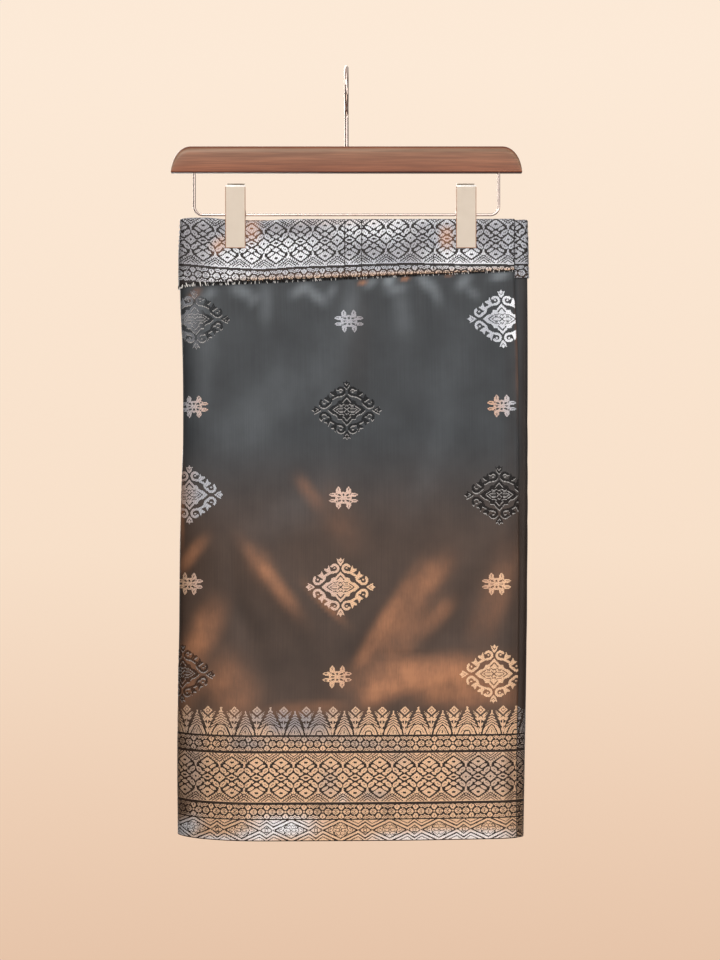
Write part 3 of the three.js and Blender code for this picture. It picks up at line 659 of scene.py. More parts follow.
def patch(x, y, *points):
    inside = np.zeros(x.shape, bool)
    for (x0, y0), (x1, y1) in zip(points, points[1:] + points[:1]):
        if y0 != y1:
            inside ^= ((y0 > y) != (y1 > y)) & (x < (x1 - x0) * (y - y0) / (y1 - y0) + x0)
    return inside


def curl(x, y, cx, cy, radius, half, start, end):
    angle = np.degrees(np.arctan2(y - cy, x - cx))
    return (np.abs(np.hypot(x - cx, y - cy) - radius) < half) & ((angle - start) % 360 < end - start)


SHAPES = {shape.__name__: shape for shape in (rhomb, oval, stroke, patch, curl)}


def charted(chart, x, y):
    """Where the chart's thread floats: "+" shapes are filled in and "-" ones left out, in turn."""
    x, y = np.broadcast_arrays(x, y)
    lit = np.zeros(x.shape, bool)
    for sign, shape, *sizes in chart:
        drawn = SHAPES[shape](x, y, *sizes)
        lit = lit | drawn if sign == "+" else lit & ~drawn
    return lit


# Eyed lozenges side by side under dotted chevrons: x 0 at an eye, 13.25 at a small diamond
LOZENGE = [
    ("+", "patch", (0, 27), (0, 22.3), (9.2, 16.2), (11.6, 14.2), (12.3, 12.5), (12.3, 10.2),
     (14, 10.2), (14, 27)),
    *(("-", "stroke", 0.46, (13.25, y), (x, 25.4))
      for x, y in ((1.8, 17.3), (5.4, 19.9), (9.2, 22.5))),
    *(("-", "stroke", 0.26, (x, y), (x + 1.2, y + 2))
      for x, y in ((2.2, 21.8), (4.2, 20.4), (6.2, 19.0), (8.2, 17.6), (10.2, 16.2))),
    *(("-", "stroke", 0.26, (x, y), (x + 1, y + 1.6))
      for x, y in ((7.4, 21.8), (9.4, 20.4), (11.4, 19.0))),
    ("-", "oval", 10.9, 13.2, 1.2, 2.1),
    ("+", "rhomb", 0, 16.3, 8.3, 5.4),
    ("-", "stroke", 0.78, (0, 22.3), (9.0, 16.0), (10.8, 13.6)),
    ("-", "oval", 0, 16.4, 2.0, 1.1),
    ("+", "oval", 5.9, 11.6, 3.9, 1.7, 31),
    ("+", "oval", 9.4, 7.4, 4.0, 2.4, 38),
    ("-", "stroke", 0.64, (3.6, 8.0), (6.6, 9.7), (10.6, 12.0)),
    ("-", "stroke", 0.28, (8.6, 6.7), (10.6, 8.2)),
    ("+", "rhomb", 0, 7.3, 4.3, 2.4),
    ("+", "oval", 5.2, 4.0, 2.7, 1.45, -27),
    ("+", "rhomb", 0, 0, 6.2, 3.5),
    ("-", "oval", 0, 0, 2.6, 1.1),
    ("-", "stroke", 0.42, (13.25, 10.4), (13.25, 5)),
    ("+", "rhomb", 13.25, 0, 6.4, 5.4),
    ("-", "oval", 13.25, 0, 1.1, 1.2),
    ("-", "oval", 9.9, 0, 0.45, 0.5),
]

# Four-petal flowers and butterflies in a chain: x 0 at a flower, 10 at a butterfly
CHAIN = [
    ("+", "patch", (-1, 1.7), (1.2, 2.3), (3.3, 4.9), (2.7, 6.4), (-1, 7.9)),
    ("-", "stroke", 0.26, (0, 4.2), (0, 6.4)),
    ("+", "rhomb", 0, 0, 1.4, 1.4),
    ("+", "patch", (1.9, -1), (1.9, 0.4), (3.9, 2.7), (6.0, 3.2), (8.3, 2.3), (9.5, 0.4), (9.5, -1)),
    ("-", "stroke", 0.28, (4.3, 1.0), (6.1, 1.9), (7.9, 1.0)),
    ("-", "oval", 5.9, 0, 1.3, 0.4),
    ("+", "patch", (3.4, 7.6), (3.6, 6.1), (5.9, 4.2), (8.0, 4.9), (9.4, 3.6), (11, 3.2),
     (11, 6.2), (10, 6.4), (8.4, 7.6)),
    ("-", "stroke", 0.26, (4.6, 7.0), (6.2, 5.7), (8.0, 6.5), (10, 4.8)),
]

# A zigzag of long diamonds: x 0 at a diamond's middle, 26.5 at a trefoil
ZIGZAG = [
    ("+", "patch", (0, 12), (1.2, 12), (19, 3.6), (26.5, 8.6), (26.5, 12)),
    ("-", "stroke", 0.4, (10, 11.2), (19, 7.0), (25.4, 11.2)),
    ("-", "stroke", 0.66, (0.6, 12.4), (19, 3.7), (26.5, 8.7)),
    ("+", "stroke", 1.1, (0, 10.6), (19, 1.7), (26.5, 6.6)),
    ("+", "patch", (0, 9.6), (18.4, 0.4), (18.4, 0), (0, 0)),
    ("+", "patch", (26.5, 5.6), (19.6, 0.6), (19.6, 0), (26.5, 0)),
    ("-", "stroke", 0.56, (0, 8.7), (17.4, 0.2)),
    ("-", "stroke", 0.5, (26.5, 4.9), (20.6, 0.4)),
    ("-", "oval", 26.5, 2.4, 0.6, 1.0),
    ("-", "stroke", 0.34, (24.9, 0), (25.2, 2.2), (24.0, 2.6)),
    ("-", "curl", 4.7, 3.5, 1.9, 0.36, -130, 170),
    ("-", "oval", 4.7, 3.5, 0.6, 0.5),
    ("-", "stroke", 0.34, (0, 4.3), (2.3, 5.9)),
    ("-", "stroke", 0.4, (0.6, 0), (1.4, 1.9), (2.7, 1.5)),
    ("-", "oval", 0, 2.9, 0.55, 0.9),
    ("-", "stroke", 0.34, (7.6, 3.7), (7.3, 1.6), (8.6, 0)),
    ("-", "oval", 10.4, 1.5, 1.4, 0.42, -27),
    ("-", "stroke", 0.34, (12.9, 0), (12.9, 1.2)),
    ("-", "oval", 5.2, 0, 1.3, 0.42),
]


def chevrons(cx, half, base, top):
    """Dark lines down both ways from a shoot's middle, one over another."""
    return [
        ("-", "stroke", 0.46, (cx, y), (cx + half, y - abs(half) * 0.6))
        for y in np.arange(base, top, 2.55)
    ]


# Bamboo shoots: x 0 at a large one, 26.5 at a small one, a flower between; y up from their base
SHOOTS = [
    ("+", "patch", (0, 30.3), (1.0, 29.6), (1.3, 28.6), (0.7, 27.6), (0.8, 27.2), (2.7, 24.6),
     (2.0, 23.6), (2.3, 23.0), (4.9, 20.6), (4.0, 19.6), (6.7, 17.2), (5.9, 16.2), (9.0, 13.2),
     (8.1, 12.2), (11.0, 9.4), (10.3, 8.2), (12.4, 4.6), (13.2, 0), (0, 0)),
    *chevrons(0, 11, 14.2, 26.5),
    ("-", "stroke", 0.62, (0, 11.6), (4.2, 10.4), (7.6, 6.4), (10.2, 0)),
    ("-", "stroke", 0.2, (0, 8.4), (3.6, 6.6), (6.4, 1.8)),
    ("-", "stroke", 0.6, (0, 4.2), (2.6, 3.6), (3.7, 0)),
    ("+", "patch", (26.5, 26.2), (25.7, 25.4), (25.8, 22.8), (24.2, 20.8), (24.9, 19.8),
     (22.7, 17.6), (23.4, 16.6), (21.1, 13.6), (21.8, 12.6), (19.4, 9.6), (20.0, 8.6),
     (17.6, 4.6), (16.8, 0), (26.5, 0)),
    *chevrons(26.5, -8, 13.0, 21.5),
    ("-", "stroke", 0.55, (26.5, 10.4), (23.6, 7.8), (20.4, 1.6), (19.8, 0)),
    ("-", "stroke", 0.2, (26.5, 7.4), (23.8, 4.2), (22.2, 0)),
    ("-", "stroke", 0.45, (26.5, 4.4), (26.5, 1.6)),
    ("+", "rhomb", 14.4, 25.9, 5.1, 4.8),
    ("-", "stroke", 0.3, (14.4, 28.2), (16.8, 25.9), (14.4, 23.6), (12.0, 25.9), (14.4, 28.2)),
    ("+", "patch", (13.2, 19.4), (11.4, 21.4), (5.9, 25.6), (6.8, 22.4), (9.4, 18.8), (12, 17.4)),
    ("+", "patch", (15.6, 19.4), (17.4, 21.4), (22.9, 25.6), (22.0, 22.4), (19.4, 18.8), (16.8, 17.4)),
    ("+", "patch", (14.4, 19.4), (17.0, 18.6), (20.4, 17.2), (18.2, 14.2), (15.8, 14.8), (14.4, 16.4),
     (13.0, 14.8), (10.6, 14.2), (8.4, 17.2), (11.8, 18.6)),
    ("-", "stroke", 0.5, (11.6, 22.4), (16.8, 18.0)),
    ("-", "stroke", 0.5, (12.0, 18.0), (17.2, 22.4)),
    ("-", "stroke", 0.35, (9.4, 20.4), (7.0, 24.0)),
    ("-", "stroke", 0.35, (19.4, 20.4), (21.8, 24.0)),
    ("+", "stroke", 0.6, (14.4, 16), (14.4, 0)),
    ("+", "patch", (14.4, 7.6), (12.2, 9.0), (11.0, 13.6), (13.0, 12.0), (14.4, 10.2), (15.8, 12.0),
     (17.8, 13.6), (16.6, 9.0)),
    ("+", "patch", (14.4, 1.2), (13.0, 2.4), (11.8, 8.0), (13.4, 6.4), (14.4, 4.2), (15.4, 6.4),
     (16.6, 8.0), (15.6, 2.4)),
]

# The large diamond: an eyed flower in a frame of curls, sprigs and finials
DIAMOND = [
    ("+", "patch", (0, 16.6), (5.2, 11.0), (5.2, 10.2), (9.6, 9.8), (10.2, 7.4), (12.0, 5.4),
     (15.6, 4.4), (20.6, 0), (0, 0)),
    ("-", "stroke", 0.6, (0, 12.2), (1.7, 10.4), (3.9, 7.8)),
    ("-", "stroke", 0.5, (14.6, 0), (12.2, 1.9), (9.4, 3.7)),
    ("-", "stroke", 0.5, (0, 0), (2.7, 2.4)),
    ("-", "stroke", 0.38, (3.0, 5.9), (5.2, 4.6), (8.0, 5.0)),
    ("-", "stroke", 0.36, (3.8, 1.36), (9.0, 1.36), (11.2, 0)),
    ("-", "stroke", 0.36, (4.6, 3.06), (7.6, 3.06)),
    ("-", "stroke", 0.3, (0, 5.2), (1.4, 3.6), (1.9, 5.4)),
    ("+", "curl", 6.3, 20.0, 3.8, 1.35, 20, 265),
    ("+", "oval", 6.6, 20.4, 1.2, 0.9),
    ("+", "stroke", 1.25, (6.6, 16.0), (10.8, 15.3), (16.2, 12.4), (19.6, 10.2)),
    ("+", "patch", (12.6, 23.6), (11.2, 19.6), (10.2, 17.0), (12.4, 14.8), (15.4, 16.4),
     (17.8, 18.2), (17.4, 19.6), (14.2, 19.8)),
    ("+", "patch", (20.2, 17.6), (18.6, 13.8), (17.2, 11.6), (20.4, 9.6), (22.6, 10.8),
     (24.9, 12.8), (21.8, 13.8)),
    ("+", "curl", 24.6, 7.2, 4.0, 1.35, -180, 60),
    ("+", "oval", 24.4, 8.0, 1.2, 0.9),
    ("+", "stroke", 1.3, (20.4, 5.4), (18.0, 7.4), (16.8, 10.6)),
    ("+", "patch", (0, 32.2), (1.0, 30.2), (2.3, 29.4), (4.1, 30.8), (3.3, 27.6), (2.3, 25.2),
     (0, 22.4)),
    ("-", "stroke", 0.3, (0, 26.2), (1.8, 28.4)),
    ("+", "patch", (37.8, 0), (35.8, 1.2), (34.6, 2.6), (35.4, 4.4), (31.8, 2.9), (27.4, 0)),
    ("-", "stroke", 0.3, (30.6, 0), (33.4, 1.5)),
]

# The small flower of four petals and four leaves
BLOOM = [
    ("+", "oval", 0, 0, 9.0, 6.4),
    ("+", "patch", (15.9, 3.1), (13.6, 4.9), (8.6, 5.3), (7.4, 1.3), (12.6, 1.2)),
    ("+", "patch", (5.5, 12.4), (2.9, 9.4), (2.5, 5.0), (8.2, 4.6), (8.2, 9.0)),
    ("-", "stroke", 0.36, (10.8, 3.4), (13.6, 3.4)),
    ("-", "stroke", 0.28, (5.4, 7.6), (5.5, 10.2)),
    ("-", "oval", 0, 3.2, 1.15, 1.15),
    ("-", "oval", 4.5, 3.1, 1.9, 0.95, 22),
    ("-", "oval", 5.1, 0, 1.9, 0.55),
    ("-", "patch", (0, 7.6), (0.9, 6.2), (3.2, 7.4), (0, 9.4)),
    ("-", "stroke", 0.4, (9.2, 0), (17, 0)),
]

# ---- The raised metal thread ----
# Silver thread shot with copper; its turns from white to peach and near black are painted reflection,
# laid in its colour by place. Each float runs along the cloth over the ground and dives back under it;
# rows lie close together.
ROW, CELL = 0.68, 0.3
THREAD_HALF, THREAD_BASE, THREAD_CROWN = 0.26, 0.05, 0.27
CELLS = np.arange(1.0, CUT_WIDTH - 1.0, CELL)
CELL_WAY = np.interp(CELLS, US, LOW_WAY)
# Round a fold the floats are short, to follow its curve: its reach along the way, and their cells
FOLD_REACH, FOLD_LONGEST = 0.52, 6


def folded(u, phase, period):
    """Distance along the cloth from the nearest middle of a repeating unit."""
    return np.abs((u - phase + period / 2) % period - period / 2)


def floats_of(rows, filled, longest):
    """First and last place of each float, from the filled cells of each row."""
    tied = (np.arange(filled.shape[1])[None, :] + 7 * np.arange(len(rows))[:, None]) % longest == 0
    lit = np.pad(filled & ~tied, ((0, 0), (1, 1))).astype(np.int8)
    edges = np.diff(lit, axis=1)
    row, first = np.nonzero(edges == 1)
    last = np.nonzero(edges == -1)[1]
    kept = last - first >= 2
    return row[kept], first[kept], last[kept]


def threads_of(name, surface, us, rows, filled, colour, longest=20):
    """Floats on a surface: low, six-cornered, hipped at both ends. colour(x, drop, way, u)."""
    from_fold = np.abs(np.interp(us, US, LOW_WAY) % 2 - FLAP_END)
    spans = np.where(from_fold < FOLD_REACH, FOLD_LONGEST, longest)
    row, first, last = floats_of(rows, filled, spans[None, :])
    u0, u1 = us[first], us[last - 1] + CELL
    drop, half = rows[row], THREAD_HALF
    inset = np.minimum(0.35, 0.3 * (u1 - u0))
    corners = [
        surface(u0, drop - half, THREAD_BASE), surface(u1, drop - half, THREAD_BASE),
        surface(u1, drop + half, THREAD_BASE), surface(u0, drop + half, THREAD_BASE),
        surface(u0 + inset, drop, THREAD_CROWN), surface(u1 - inset, drop, THREAD_CROWN),
    ]
    count = len(row)
    loops = np.array([0, 1, 5, 4, 4, 5, 2, 3, 0, 4, 3, 1, 2, 5])
    faces = (loops[None, :] + 6 * np.arange(count)[:, None]).ravel()
    points = np.stack(corners, axis=1)
    piece = mesh_of(name, points.reshape(-1, 3), faces, np.tile([4, 4, 3, 3], count))
    middle = (u0 + u1) / 2
    place = surface(middle, drop, 0.0)
    tint = colour(place[:, 0], -place[:, 2], np.interp(middle, US, LOW_WAY), middle)
    lay_colour_and_painted_light(piece, "silk", np.repeat(tint, 6, axis=0))
    ends = np.stack([u0, u1, u1, u0, u0 + inset, u1 - inset], axis=1) / CUT_WIDTH
    downs = (np.stack([drop - half] * 2 + [drop + half] * 2 + [drop] * 2, axis=1) - 150) / (HEM - 140)
    lay_flat(piece, np.stack([ends, downs], axis=-1).reshape(-1, 2))
    piece.data.materials.append(METAL_THREAD)
    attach(piece, "root")
    return piece


def threads_all_round(kind, surface, rows, chart, colour, longest=20, fewer_under=True):
    """The same threads on the flap, on the back and, in every other row, on the hidden stretch."""
    pieces = []
    for side, low, high in (
        ("front", 0, FLAP_END), ("back", FLAP_END, BACK_END), ("under", BACK_END, UNDER_END),
    ):
        us = CELLS[(CELL_WAY >= low) & (CELL_WAY < high)]
        kept = rows[::2] if fewer_under and side == "under" else rows
        name = f"{kind}_threads_{side}"
        pieces.append(threads_of(name, surface, us, kept, chart(us, kept), colour, longest))
    return pieces


def metal_thread():
    """Flat metal foil wound on silk: bright, slightly rough, in the colour laid on it, which carries
    painted reflection.
    """
    material, tree, shader = principled("metal_thread", Metallic=0.55, Specular_IOR_Level=0.2)
    dull = noise(tree, laid_out(tree), (3200, 900, 1), 1.0, 0.3, 0.7, 0.28, 0.48)
    feed(tree, shader, Base_Color=laid_colour_and_painted_light(tree), Roughness=dull)
    return material


METAL_THREAD = metal_thread()
# Colours laid on the metal thread; the turns among them are painted reflection, and the bronze is
# painted shade
PEACH, GREY, WHITE, SILVER, ROSE_SILVER, BRONZE_SHADE, REFLECTED_BLACK = (
    linear(c) for c in ("#eac29e", "#9c989c", "#f8faff", "#c2c5cd", "#dcbdad", "#7b6353", "#0b0a0b")
)


def on_face(u, drop, off):
    return on_cloth(u, drop, WALL / 2 + off)


# ---- The woven border at the hem ----
# From the top: bamboo shoots with flowers, a flower chain, the lozenge band, a second chain and
# the zigzag, with a line of bare dark ground between each two.
SHOOT_BASE, CHAIN_HIGH, LOZENGE_AT, CHAIN_LOW, ZIGZAG_AT = 718.2, 727.75, 764.0, 800.5, 820.3
SHOOT_PHASE, CHAIN_PHASE = u_at(-28.8, 704), u_at(-25.4, 800)
LOZENGE_PHASE, ZIGZAG_PHASE = u_at(9.5, 764), u_at(-6.2, 820)
border_rows = np.arange(686.6, HEM - 0.8, ROW)


def border_chart(us, rows):
    u, drop = us[None, :], rows[:, None]
    filled = (drop < SHOOT_BASE) & charted(SHOOTS, folded(u, SHOOT_PHASE, 53.0), SHOOT_BASE - drop)
    x = folded(u, CHAIN_PHASE, 20.0)
    filled |= charted(CHAIN, x, np.abs(drop - CHAIN_HIGH))
    filled |= charted(CHAIN, x, np.abs(drop - CHAIN_LOW))
    y = np.abs(drop - LOZENGE_AT)
    filled |= (y < 26) & charted(LOZENGE, folded(u, LOZENGE_PHASE, 26.5), y)
    y = np.abs(drop - ZIGZAG_AT)
    filled |= (y < 11) & charted(ZIGZAG, folded(u, ZIGZAG_PHASE, 53.0), y)
    return filled


# Painted light on the border's thread at the flap: grey, white and peach patches are painted
# reflection and highlight, bronze ones painted shade at the folds and in small spots
BORDER_PAINTED_LIGHT = [
    (GREY, -60, 703, 90, 62, 17, 0.95), (GREY, -105, 727, 90, 22, 7, 0.7),
    (GREY, -165, 740, 0, 60, 12, 0.45), (GREY, -30, 722, 90, 40, 6, 0.4),
    (GREY, 20, 728, 90, 26, 6, 0.5), (PEACH, -92, 714, 0, 10, 10, 0.6),
    (PEACH, -12, 708, 0, 14, 8, 0.7), (GREY, 57, 735, 0, 20, 12, 0.25),
    (GREY, 155, 760, 0, 24, 22, 0.4), (WHITE, -68, 816, 90, 34, 12, 0.95),
    (WHITE, -176, 820, 60, 20, 10, 0.95), (WHITE, -100, 826, 90, 20, 6, 0.7),
    (WHITE, 60, 828, 90, 36, 5, 0.6), (WHITE, 130, 826, 90, 60, 6, 0.75),
    (WHITE, -140, 830, 90, 26, 5, 0.7), (GREY, -20, 770, 10, 16, 10, 0.35),
    (WHITE, -4, 786, 0, 6, 6, 0.3), (BRONZE_SHADE, -177, 798, 0, 11, 9, 0.75),
    (BRONZE_SHADE, -178, 727, 0, 9, 7, 0.5), (BRONZE_SHADE, -172, 784, 0, 8, 6, 0.3),
    (BRONZE_SHADE, 176, 765, 0, 40, 5, 0.5), (BRONZE_SHADE, -183, 765, 0, 70, 4, 0.5),
    (GREY, 30, 783, 90, 16, 6, 0.5), (BRONZE_SHADE, -28, 797, 0, 6, 6, 0.5),
    (BRONZE_SHADE, 46, 800, 0, 8, 6, 0.3), (GREY, 128, 763, 0, 20, 12, 0.4),
]


def border_tint(x, drop, way, u):
    shown = turned_to(np.broadcast_to(PEACH, (len(x), 3)), BORDER_PAINTED_LIGHT, x, drop)
    # Behind, painted reflection turning between peach and silver along the cloth
    behind = mix(PEACH, SILVER, (0.5 + 0.5 * np.sin(u / 61 + drop / 47))[:, None])
    return np.where((way < FLAP_END)[:, None], shown, behind)


border_pieces = threads_all_round("border", on_face, border_rows, border_chart, border_tint)

# ---- The weave of the waistband ----
# The strip is cut across the same bands: lozenges over the fold and down the face, the flower chain
# under them, and as much of the zigzag as the slanting cut leaves.
STRIP_LINE = np.array([
    [-190, 210.4], [-179.8, 211.2], [-139.9, 215.0], [-104.2, 217.0], [-93.4, 217.4], [-72.9, 216.3],
    [-53.5, 214.8], [-9.2, 213.3], [20, 212.0], [67.5, 210.6], [124.7, 211.8], [164.7, 212.2],
    [179.8, 212.4], [190, 212.4],
])
STRIP_PHASE, STRIP_CHAIN_PHASE = u_at(3.3, 200), u_at(-6, 216)
strip_rows_at = np.arange(157.2, 241, ROW)


def strip_line_at(u):
    """Drop of the dark line under the lozenges; behind, it follows the level top."""
    shown = np.interp(on_cloth(u, BAND_DROP)[..., 0], STRIP_LINE[:, 0], STRIP_LINE[:, 1])
    return mix(shown, 211.0, np.clip((way_at(u) - 1.2) / 0.5, 0, 1))


def strip_chart(us, rows):
    u, drop = us[None, :], rows[:, None]
    v = drop - strip_line_at(us)[None, :]
    filled = (v < -1) & charted(LOZENGE, folded(u, STRIP_PHASE, 26.4), np.abs(v + 28.4))
    filled |= charted(CHAIN, folded(u, STRIP_CHAIN_PHASE, 20.0), np.abs(v - 8.8))
    roll = (top_at(us) + ROLL)[None, :]
    share = (drop - roll) / (lower_at(us)[None, :] - roll)
    filled &= tuck_at(u, share) < 0.4
    return filled & (drop < lower_at(us)[None, :] - 0.7) & (drop > roll - 0.94 * np.pi * ROLL)


# Painted reflection on the waistband's thread at the flap: grey, white and rose patches, and a white
# painted highlight along the top of the fold
STRIP_PAINTED_LIGHT = [
    *((GREY, *place) for place in (
        (-168, 196, 10, 44, 26, 0.8), (-60, 174, 90, 40, 8, 0.7), (76, 190, 0, 30, 14, 0.6),
        (-20, 190, 0, 24, 12, 0.5), (150, 180, 0, 24, 22, 0.5), (30, 196, 90, 40, 9, 0.45),
        (186, 190, 0, 30, 6, 0.5), (-128, 168, 90, 14, 6, 0.6),
    )),
    *((WHITE, *place) for place in (
        (-84, 199, 88, 62, 17, 1.0), (26, 171, 90, 46, 13, 0.85), (-124, 208, 60, 22, 14, 0.95),
        (118, 204, 90, 34, 11, 1.0), (158, 210, 90, 20, 6, 0.7), (-2, 209, 90, 24, 7, 0.5),
        (-128, 224, 88, 26, 7, 0.85), (0, 163.5, 90, 190, 3, 0.5), (-178, 226, 0, 7, 5, 0.5),
    )),
    *((ROSE_SILVER, *place) for place in (
        (-137, 189, 60, 10, 7, 0.75), (-103, 173, 0, 13, 8, 0.6), (108, 181, 0, 12, 7, 0.8),
        (-10, 165, 90, 50, 4, 0.3),
    )),
]


def strip_tint(x, drop, way, u):
    """Silver with painted reflection in patches from grey to white, and peach in the last rows over
    the raw edge.
    """
    shown = turned_to(np.broadcast_to(SILVER, (len(x), 3)), STRIP_PAINTED_LIGHT, x, drop)
    edge_share = np.exp(-(((lower_at(u) - drop) / 4.2) ** 2)) * np.clip((x + 132) / 30, 0.1, 0.9)
    shown = mix(shown, PEACH, edge_share[:, None])
    # Behind, painted reflection turning between silver and peach along the cloth
    behind = mix(SILVER, PEACH, (0.35 + 0.35 * np.sin(u / 73 + 1))[:, None])
    return np.where((way < FLAP_END)[:, None], shown, behind)


strip_pieces = threads_all_round(
    "waistband", on_strip, strip_rows_at, strip_chart, strip_tint, longest=8, fewer_under=False,
)

# ---- The overlocked edge ----
# The strip's raw lower edge is bound by a row of close thread loops, black with white ones among
# them. They lie round the edge, hang a little below it, and are longer and looser at the left.


def node_tree(name, makes, **needs):
    """A geometry node tree that is given these things and makes one; with what it is given."""
    tree = bpy.data.node_groups.new(name, "GeometryNodeTree")
    for label, kind in needs.items():
        tree.interface.new_socket(label, in_out="INPUT", socket_type=f"NodeSocket{kind}")
    tree.interface.new_socket(makes, in_out="OUTPUT", socket_type="NodeSocketGeometry")
    return tree, tree.nodes.new("NodeGroupInput").outputs


def overlock_tree():
    """A loop of thread on every point of the edge, facing as its "turn" says, leaning by chance."""
    tree, given = node_tree(
        "overlock", "Stitches", Edge="Geometry", Thread="Float", Out="Float", Down="Float",
        Lean="Float", Seed="Int", Finish="Material",
    )
    ring = node(tree, "GeometryNodeCurvePrimitiveCircle", Radius=1.0, Resolution=10)
    reach = node(tree, "ShaderNodeCombineXYZ", X=given["Out"], Y=given["Down"], Z=1.0)
    upright = node(
        tree, "GeometryNodeTransform", Geometry=ring.outputs["Curve"],
        Rotation=(np.pi / 2, 0, np.pi / 2), Scale=reach.outputs["Vector"],
    )
    section = node(tree, "GeometryNodeCurvePrimitiveCircle", Radius=given["Thread"], Resolution=5)
    loop = node(
        tree, "GeometryNodeCurveToMesh", Curve=upright.outputs["Geometry"],
        Profile_Curve=section.outputs["Curve"],
    )
    turn = node(tree, "GeometryNodeInputNamedAttribute", {"data_type": "FLOAT_VECTOR"}, Name="turn")
    size = node(tree, "GeometryNodeInputNamedAttribute", {"data_type": "FLOAT"}, Name="size")
    least = node(tree, "ShaderNodeMath", {"operation": "MULTIPLY"}, _0=given["Lean"], _1=-1.0)
    chance = node(
        tree, "FunctionNodeRandomValue", {"data_type": "FLOAT"},
        _2=least.outputs["Value"], _3=given["Lean"], Seed=given["Seed"],
    )
    lean = node(tree, "ShaderNodeCombineXYZ", Y=chance.outputs[1])
    turned = node(
        tree, "FunctionNodeRotateRotation", {"rotation_space": "LOCAL"},
        Rotation=turn.outputs["Attribute"], Rotate_By=lean.outputs["Vector"],
    )
    laid = node(
        tree, "GeometryNodeInstanceOnPoints", Points=given["Edge"], Instance=loop.outputs["Mesh"],
        Rotation=turned.outputs["Rotation"], Scale=size.outputs["Attribute"],
    )
    real = node(tree, "GeometryNodeRealizeInstances", Geometry=laid.outputs["Instances"])
    smooth = node(tree, "GeometryNodeSetShadeSmooth", Geometry=real.outputs["Geometry"])
    spun = node(
        tree, "GeometryNodeSetMaterial", Geometry=smooth.outputs["Geometry"], Material=given["Finish"],
    )
    node(tree, "NodeGroupOutput", Stitches=spun.outputs["Geometry"])
    return tree


def grown(name, carrier, tree, finish, **inputs):
    """What a node tree makes on this carrier, as a plain mesh piece; the carrier goes."""
    modifier = carrier.modifiers.new("grow", "NODES")
    modifier.node_group = tree
    sockets = {s.name: s.identifier for s in tree.interface.items_tree if s.in_out == "INPUT"}
    modifier[sockets["Finish"]] = finish
    for label, value in inputs.items():
        modifier[sockets[label]] = value
    ready = carrier.evaluated_get(bpy.context.evaluated_depsgraph_get())
    mesh = bpy.data.meshes.new_from_object(ready)
    mesh.name = name
    bpy.data.objects.remove(carrier)
    return placed(name, mesh)


def spun_thread():
    """Matt spun thread with a fine twist."""
    material, tree, shader = principled("spun_thread", Roughness=0.8, Specular_IOR_Level=0.2)
    fuzz = node(tree, "ShaderNodeTexNoise", Vector=in_space(tree), Scale=5200.0, Detail=2.0)
    feed(tree, shader, Base_Color=laid_colour_and_painted_light(tree))
    roughen(tree, shader, fuzz.outputs["Fac"], 0.4, 0.0001)
    return material


chance = np.random.default_rng(7)
stitch_us = np.arange(1.2, CUT_WIDTH, 1.45)
stitch_us = stitch_us[way_at(stitch_us) < 3.6]
stitch_us = stitch_us + chance.uniform(-0.25, 0.25, len(stitch_us))
stitch_way = way_at(stitch_us)
hanging = np.interp(stitch_way, [0, 0.35, 0.8, 1.3, 1.6, 3.5], [0.6, 1.7, 2.6, 2.4, 1.6, 0.8])
pale_share = np.interp(stitch_way, [0, 0.6, 0.85, 1.2], [0.26, 0.24, 0.4, 0.55])
pale = chance.random(len(stitch_us)) < pale_share
stitch_size = (0.62 + 0.15 * hanging) * chance.uniform(0.85, 1.15, len(stitch_us))
short = pale & (chance.random(len(stitch_us)) < 0.85)
stitch_size *= np.where(short, chance.uniform(0.4, 0.65, len(stitch_us)), 1)
hanging = hanging + 0.5 * pale
stitch_drop = lower_at(stitch_us) + hanging - 2.1 * stitch_size
middles, after, before = (on_strip(stitch_us + d, stitch_drop, -WALL / 2) for d in (0, 0.5, -0.5))
outs = on_strip(stitch_us, stitch_drop, 1.0) - on_strip(stitch_us, stitch_drop, 0.0)
edge_points = bpy.data.meshes.new("edge_points")
edge_points.vertices.add(len(middles))
edge_points.vertices.foreach_set("co", (middles * MM).astype(np.float32).ravel())
stitch_edge = placed("edge_points", edge_points)
turns = []
for forward, out in zip(after - before, outs):
    x_axis = Vector(forward).normalized()
    z_axis = x_axis.cross(Vector(out)).normalized()
    turns.append(Matrix((x_axis, z_axis.cross(x_axis), z_axis)).transposed().to_euler()[:])
edge_points.attributes.new("turn", "FLOAT_VECTOR", "POINT").data.foreach_set("vector", np.ravel(turns))
edge_points.attributes.new("size", "FLOAT", "POINT").data.foreach_set("value", stitch_size)
lay_colour_and_painted_light(stitch_edge, "silk", np.where(pale[:, None], linear("#f1eeea"), linear("#15100d")))
overlocked_edge = grown(
    "overlocked_edge", stitch_edge, overlock_tree(), spun_thread(),
    Thread=0.42 * MM, Out=0.85 * MM, Down=2.1 * MM, Lean=0.42, Seed=3,
)
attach(overlocked_edge, "root")
strip_pieces.append(overlocked_edge)

# ---- The scattered motifs ----
# Large diamonds and small flowers in a checkerboard over the ground, 162 mm apart along the cloth.
# Their thread's silver, copper or near black is painted reflection, given motif by motif.
MOTIF_APART = 162.0
COPPER_THREAD, DARK_COPPER = linear("#d3a88c"), linear("#3a2a24")
